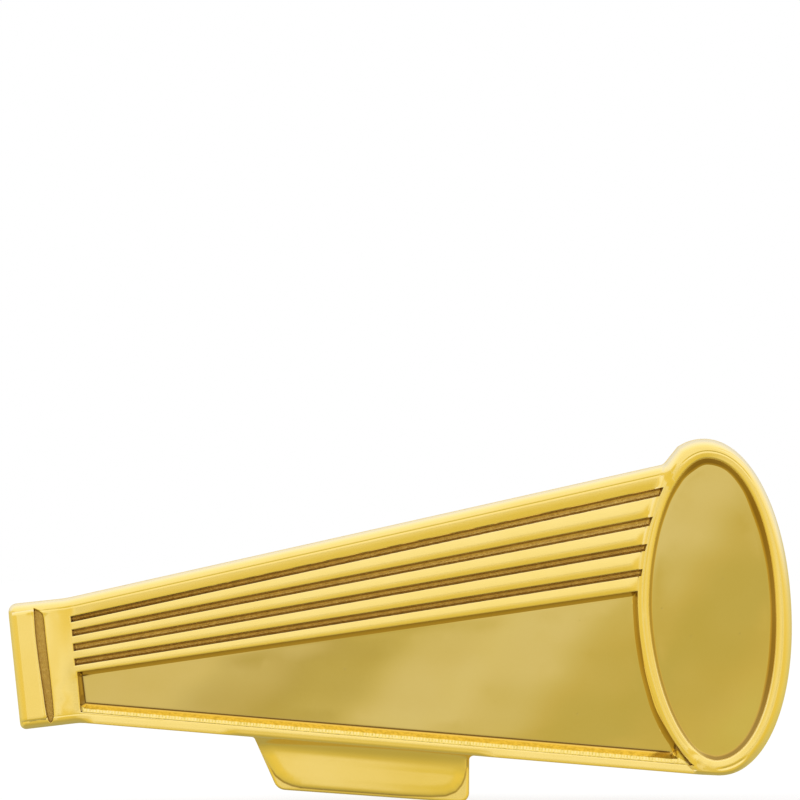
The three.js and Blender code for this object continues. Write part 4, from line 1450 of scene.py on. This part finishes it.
def plating():
    """Gold plate: polished relief, mirror floors, dull recesses, tool marks, gritty back;
    painted shade on walls, grooves and tool marks, a painted sheen on the relief.
    """
    material, graph, shader = new_metal("gold_plate_struck")
    remap, mix, times, plus, minus = (
        graph.remap, graph.mix, graph.times, graph.plus, graph.minus)
    fin = graph.node("Attribute", attribute_name="fin").outputs
    mirror, recess, wall = graph.channels(fin["Color"])
    tool = fin["Alpha"]
    side = graph.node("Attribute", attribute_name="side").outputs
    handle, back = list(graph.channels(side["Color"]))[:2]
    mm = graph.coords()
    cloud = graph.noise(mm, scale=0.35, detail=3)
    fine = graph.noise(mm, scale=22.0, detail=3, roughness=0.6)
    coarse = graph.noise(mm, scale=7.0, detail=4, roughness=0.6)

    # colour
    color = mix(remap(cloud, (0.35, 0.7)), GOLD, GOLD_DEEP)
    # painted shade: dark brown on the walls and on the dark lines
    color = mix(wall, color, WALL_SHADE)
    # painted shade in the grooves: darker golds, darkest along their edges
    groove_shade = mix(remap(coarse, (0.3, 0.7)), *RECESS_FLOOR_SHADE)
    groove_shade = mix(remap(recess, (0.5, 1.0), to=(1, 0)), groove_shade, RECESS_EDGE_SHADE)
    color = mix(times(recess, 2.0, clamp=True), color, groove_shade)
    # painted shade and a painted orange reflection on the tool-marked wall
    color = mix(tool, color, mix(remap(coarse, (0.38, 0.62)), *TOOLED_SHADE))
    # painted sheen: the plain relief's colour pales where it turns away from the view
    facing = graph.node("LayerWeight", {"Blend": 0.5}).outputs["Facing"]
    other = plus(plus(wall, recess), plus(mirror, times(tool, 2.0)), clamp=True)
    pale = times(remap(facing, (0.06, 0.50), to=(0, 0.85)), minus(1.0, times(handle, 0.7)))
    color = mix(times(pale, minus(1.0, other)), color, PAINTED_SHEEN)
    color = mix(times(back, 0.6), color, BACK_GOLD)
    # scattered pits in the mirror floors
    cells = graph.node("TexVoronoi", {"Vector": mm, "Scale": 1.5}, feature="F1").outputs
    chosen = graph.math("GREATER_THAN", graph.channels(cells["Color"])[0], 0.62)
    pit = times(remap(cells["Distance"], (0.040, 0.075), to=(-1, 0)), chosen)
    color = mix(times(times(pit, mirror), -0.45), color, PIT_BROWN)
    graph.put(shader["Base Color"], color)

    # roughness: relief, then mirror, recess, wall, tool marks and back over it
    rough = remap(coarse, (0.3, 0.75), to=(0.135, 0.185))
    rough = graph.mix_value(mirror, rough, remap(coarse, (0.3, 0.7), to=(0.018, 0.026)))
    rough = graph.mix_value(times(recess, 2.0, clamp=True), rough,
                            remap(fine, (0.3, 0.7), to=(0.24, 0.38)))
    rough = graph.mix_value(wall, rough, 0.16)
    rough = graph.mix_value(remap(tool, (0, 0.5)), rough,
                            remap(fine, (0.3, 0.7), to=(0.08, 0.20)))
    rough = graph.mix_value(back, rough, remap(coarse, (0.3, 0.7), to=(0.30, 0.42)))
    graph.put(shader["Roughness"], rough)

    # surface: haze and hair scratches on the relief, pits, grit on the back, dull recesses
    scratch = graph.noise(graph.coords(scale=(900, 900, 30000), rotation=(0.0, 0.35, 0.0)), 1.0)
    crossing = graph.noise(graph.coords(scale=(700, 700, 24000), rotation=(0.0, -0.75, 0.0)),
                           1.0)
    hair = plus(remap(scratch, (0.60, 0.72), to=(0, -1)),
                remap(crossing, (0.62, 0.74), to=(0, -1)))
    height = times(plus(times(hair, 0.05), times(coarse, 0.08)),
                   times(minus(1.0, back), minus(1.0, mirror)))
    height = plus(height, times(times(pit, mirror), 0.02))
    grit = graph.noise(mm, scale=9.0, detail=5, roughness=0.7)
    height = plus(height, times(times(grit, back), 6.0))
    height = plus(height, times(times(fine, recess), 3.0))
    graph.put(shader["Normal"], graph.bump(height, strength=0.5, distance=0.010 * MM))
    return material


GOLD_PLATE = plating()
POST_METAL = metal("post_metal_turned", color=(0.93, 0.75, 0.33), rough=0.16)
DISC_BRASS = metal("clutch_brass_disc", color=(0.93, 0.72, 0.28), rough=0.20)
HOUSE_BRASS = metal("clutch_brass_housing", color=(0.91, 0.70, 0.27), rough=0.18)
SPRING = metal("spring_brass_strip", color=(0.88, 0.66, 0.25), rough=0.24, satin=0.2)
SOLDER = metal("solder_tin", color=(0.62, 0.60, 0.55), rough=0.34, satin=0.35)

# ------------------------------------------------------------------ build

face = build_face()
face.data.materials.append(GOLD_PLATE)
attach(face, "badge")
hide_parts("megaphone_face")

for end in POSTS:
    # object, material, the body it rides on, the CAD node it replaces, its slot
    for ob, material, body, node, slot in (
        (build_post(end), POST_METAL, "badge", "post_" + end, "post_metal"),
        (build_solder(end), SOLDER, "badge", None, None),
        (build_disc(end), DISC_BRASS, "clutch_" + end, "clutch_base_" + end, "clutch_brass"),
        (build_housing(end), HOUSE_BRASS, "clutch_head_" + end, "clutch_housing_" + end,
         "clutch_brass"),
        (build_wing(end, "a"), SPRING, "wing_a_" + end, "clutch_wing_a_" + end, "spring_brass"),
        (build_wing(end, "b"), SPRING, "wing_b_" + end, "clutch_wing_b_" + end, "spring_brass"),
    ):
        ob.data.materials.append(material)
        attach(ob, body)
        if node:
            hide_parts(node)


def cad_material(name):
    if name == "megaphone_face":
        return GOLD_PLATE
    if name.startswith("post"):
        return POST_METAL
    if "wing" in name:
        return SPRING
    return DISC_BRASS if "base" in name else HOUSE_BRASS


# the CAD nodes stay as they are underneath, and take the same finishes
for name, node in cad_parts.items():
    node.data.materials.clear()
    node.data.materials.append(cad_material(name))

# ------------------------------------------------------------------ studio

CAMERA_DISTANCE = 0.5  # metres from the body's top
VIEW_WIDTH = 32.439 * MM
VIEW_X, VIEW_Z = -0.010 * MM, 8.982 * MM
SENSOR = 36.0
FLOOR_Z, FLOOR_RADIUS = -7.42 * MM, 0.6

# colour of the surroundings by the z of the direction
SKY = [
    (-1.0, (0.50, 0.45, 0.20)), (-0.85, (0.50, 0.45, 0.19)), (-0.64, (0.66, 0.58, 0.24)),
    (-0.42, (0.76, 0.67, 0.25)), (-0.30, (0.745, 0.65, 0.20)), (-0.16, (0.75, 0.66, 0.23)),
    (-0.09, (0.84, 0.76, 0.44)), (-0.04, (0.94, 0.90, 0.74)), (0.01, (0.98, 0.96, 0.92)),
    (0.10, (1.0, 0.99, 0.95)), (0.36, (1.02, 1.01, 0.99)), (0.60, (1.06, 1.05, 1.03)),
    (1.0, (1.10, 1.10, 1.10)),
]
# slanting bands straight in front of the face: share of the way across them, colour
BANDS = [
    (0.0166667, (0.651, 0.613, 0.485)), (0.0833333, (0.659, 0.619, 0.516)),
    (0.1416667, (0.652, 0.613, 0.500)), (0.1875, (0.596, 0.564, 0.454)),
    (0.2458333, (0.546, 0.501, 0.365)), (0.3020833, (0.490, 0.447, 0.260)),
    (0.3604167, (0.513, 0.472, 0.267)), (0.4166667, (0.611, 0.575, 0.402)),
    (0.475, (0.671, 0.641, 0.557)), (0.53125, (0.691, 0.674, 0.604)),
    (0.5895833, (0.678, 0.648, 0.564)), (0.6458333, (0.614, 0.581, 0.407)),
    (0.7041667, (0.576, 0.514, 0.279)), (0.7604167, (0.522, 0.481, 0.242)),
    (0.81875, (0.522, 0.481, 0.244)), (0.875, (0.553, 0.496, 0.255)),
    (0.9333333, (0.593, 0.530, 0.285)), (0.9895833, (0.600, 0.566, 0.305)),
]
# slant = x * SLANT_X - z * SLANT_Z + SLANT_SHIFT; the bands fill SLANT_SPAN
SLANT_X, SLANT_Z, SLANT_SHIFT = 8250.3083, 9162.762, 564.50845
SLANT_SPAN = (560, 1040)


def build_camera():
    data = bpy.data.cameras.new("camera")
    camera = add_to_scene("camera", data)
    data.type = "PERSP"
    data.sensor_width = SENSOR
    data.lens = SENSOR * CAMERA_DISTANCE / VIEW_WIDTH
    data.clip_start, data.clip_end = 0.01, 10.0
    camera.location = (VIEW_X, -BODY_TOP * MM - CAMERA_DISTANCE, VIEW_Z)
    camera.rotation_euler = (math.radians(90), 0, 0)
    bpy.context.scene.camera = camera


def build_world():
    """Surroundings for reflections only; the camera sees white."""
    world = bpy.data.worlds.new("studio")
    bpy.context.scene.world = world
    world.use_nodes = True
    graph = Graph(world.node_tree)
    remap, mix, times, plus = graph.remap, graph.mix, graph.times, graph.plus
    output = graph.node("OutputWorld")
    generated = graph.node("TexCoord").outputs["Generated"]
    direction = graph.node("VectorMath", {0: generated}, operation="NORMALIZE").outputs[0]
    x, y, z = graph.node("SeparateXYZ", {0: direction}).outputs
    sky = graph.ramp(remap(z, (-1, 1)), [((height + 1) / 2, color) for height, color in SKY])
    # yellow to both sides around the horizon
    sideways = times(remap(graph.math("ABSOLUTE", x), (0.06, 0.22), to=(0, 0.85)),
                     times(remap(z, (0.05, 0.22), to=(1, 0)), remap(z, (-0.40, -0.22))))
    sky = mix(sideways, sky, (0.86, 0.735, 0.25))
    # a pale patch low on the left
    low_left = times(remap(x, (-0.015, -0.07)), remap(z, (-0.02, -0.08)))
    low_left = times(low_left, remap(x, (-0.20, -0.13)))
    low_left = times(low_left, remap(z, (-0.62, -0.42)))
    sky = mix(low_left, sky, (0.90, 0.86, 0.74))
    # the bands, as the flat floors mirror them, within an oval straight in front
    slant = graph.minus(times(x, SLANT_X), times(z, SLANT_Z))
    slant = plus(slant, SLANT_SHIFT)
    bands = graph.ramp(remap(slant, SLANT_SPAN), BANDS)
    oval_x = graph.math("DIVIDE", graph.minus(x, 0.0025), 0.035)
    oval_z = graph.math("DIVIDE", plus(z, 0.017), 0.0195)
    radius = graph.math("SQRT", plus(times(oval_x, oval_x), times(oval_z, oval_z)))
    in_front = graph.math("LESS_THAN", y, 0.0)
    sky = mix(times(remap(radius, (1.0, 1.35), to=(1, 0)), in_front), sky, bands)
    # the studio behind the badge is a little dimmer
    dimmed = graph.node("VectorMath", {0: sky, "Scale": remap(y, (0.0, 0.8), to=(1.0, 0.82))},
                        operation="SCALE").outputs[0]
    rays = graph.node("LightPath").outputs
    color = mix(rays["Is Glossy Ray"], (0.95, 0.95, 0.95), dimmed)
    color = mix(rays["Is Camera Ray"], color, (1.0, 1.0, 1.0))
    background = graph.node("Background", {"Color": color, "Strength": 1.0})
    graph.put(output.inputs[0], background.outputs[0])


def floor_paper():
    """Grey paper that also glows."""
    material, graph, output = new_material("floor_paper")
    diffuse = graph.node("BsdfDiffuse")
    glow = graph.node("Emission", {"Color": (1, 1, 1), "Strength": 0.80})
    both = graph.node("AddShader")
    paper = graph.noise(graph.coords(), scale=3.0, detail=3)
    graph.put(diffuse.inputs["Color"], graph.mix(paper, (0.22, 0.22, 0.22), (0.23, 0.23, 0.23)))
    graph.put(both.inputs[0], diffuse.outputs[0])
    graph.put(both.inputs[1], glow.outputs[0])
    graph.put(output.inputs[0], both.outputs[0])
    return material


def build_floor():
    """A pale round floor just under the handle."""
    rings, sides = 24, 96
    verts = [(0, 0, FLOOR_Z)]
    for i in range(1, rings + 1):
        radius = FLOOR_RADIUS * (i / rings) ** 2
        for k in range(sides):
            angle = 2 * math.pi * k / sides
            verts.append((radius * math.cos(angle), radius * math.sin(angle), FLOOR_Z))
    faces = [(0, 1 + k, 1 + (k + 1) % sides) for k in range(sides)]
    for i in range(rings - 1):
        for k in range(sides):
            a, b = 1 + i * sides + k, 1 + i * sides + (k + 1) % sides
            faces.append((a, a + sides, b + sides, b))
    me = bpy.data.meshes.new("floor")
    me.from_pydata(verts, [], faces)
    floor = add_to_scene("floor", me)
    me.materials.append(floor_paper())
    floor.visible_glossy = False


def build_softbox():
    """One broad soft light, high to the left, aimed at the badge."""
    data = bpy.data.lights.new("softbox", "AREA")
    data.shape, data.size, data.size_y, data.energy = "RECTANGLE", 0.30, 0.22, 0.35
    light = add_to_scene("softbox", data)
    light.location = (-0.16, -0.22, 0.30)
    light.rotation_euler = (-light.location).to_track_quat("-Z", "Y").to_euler()
    light.visible_glossy = False


build_camera()
build_world()
build_floor()
build_softbox()

view = bpy.context.scene.view_settings
view.view_transform, view.look = "Standard", "None"
view.exposure, view.gamma = 0.0, 1.0
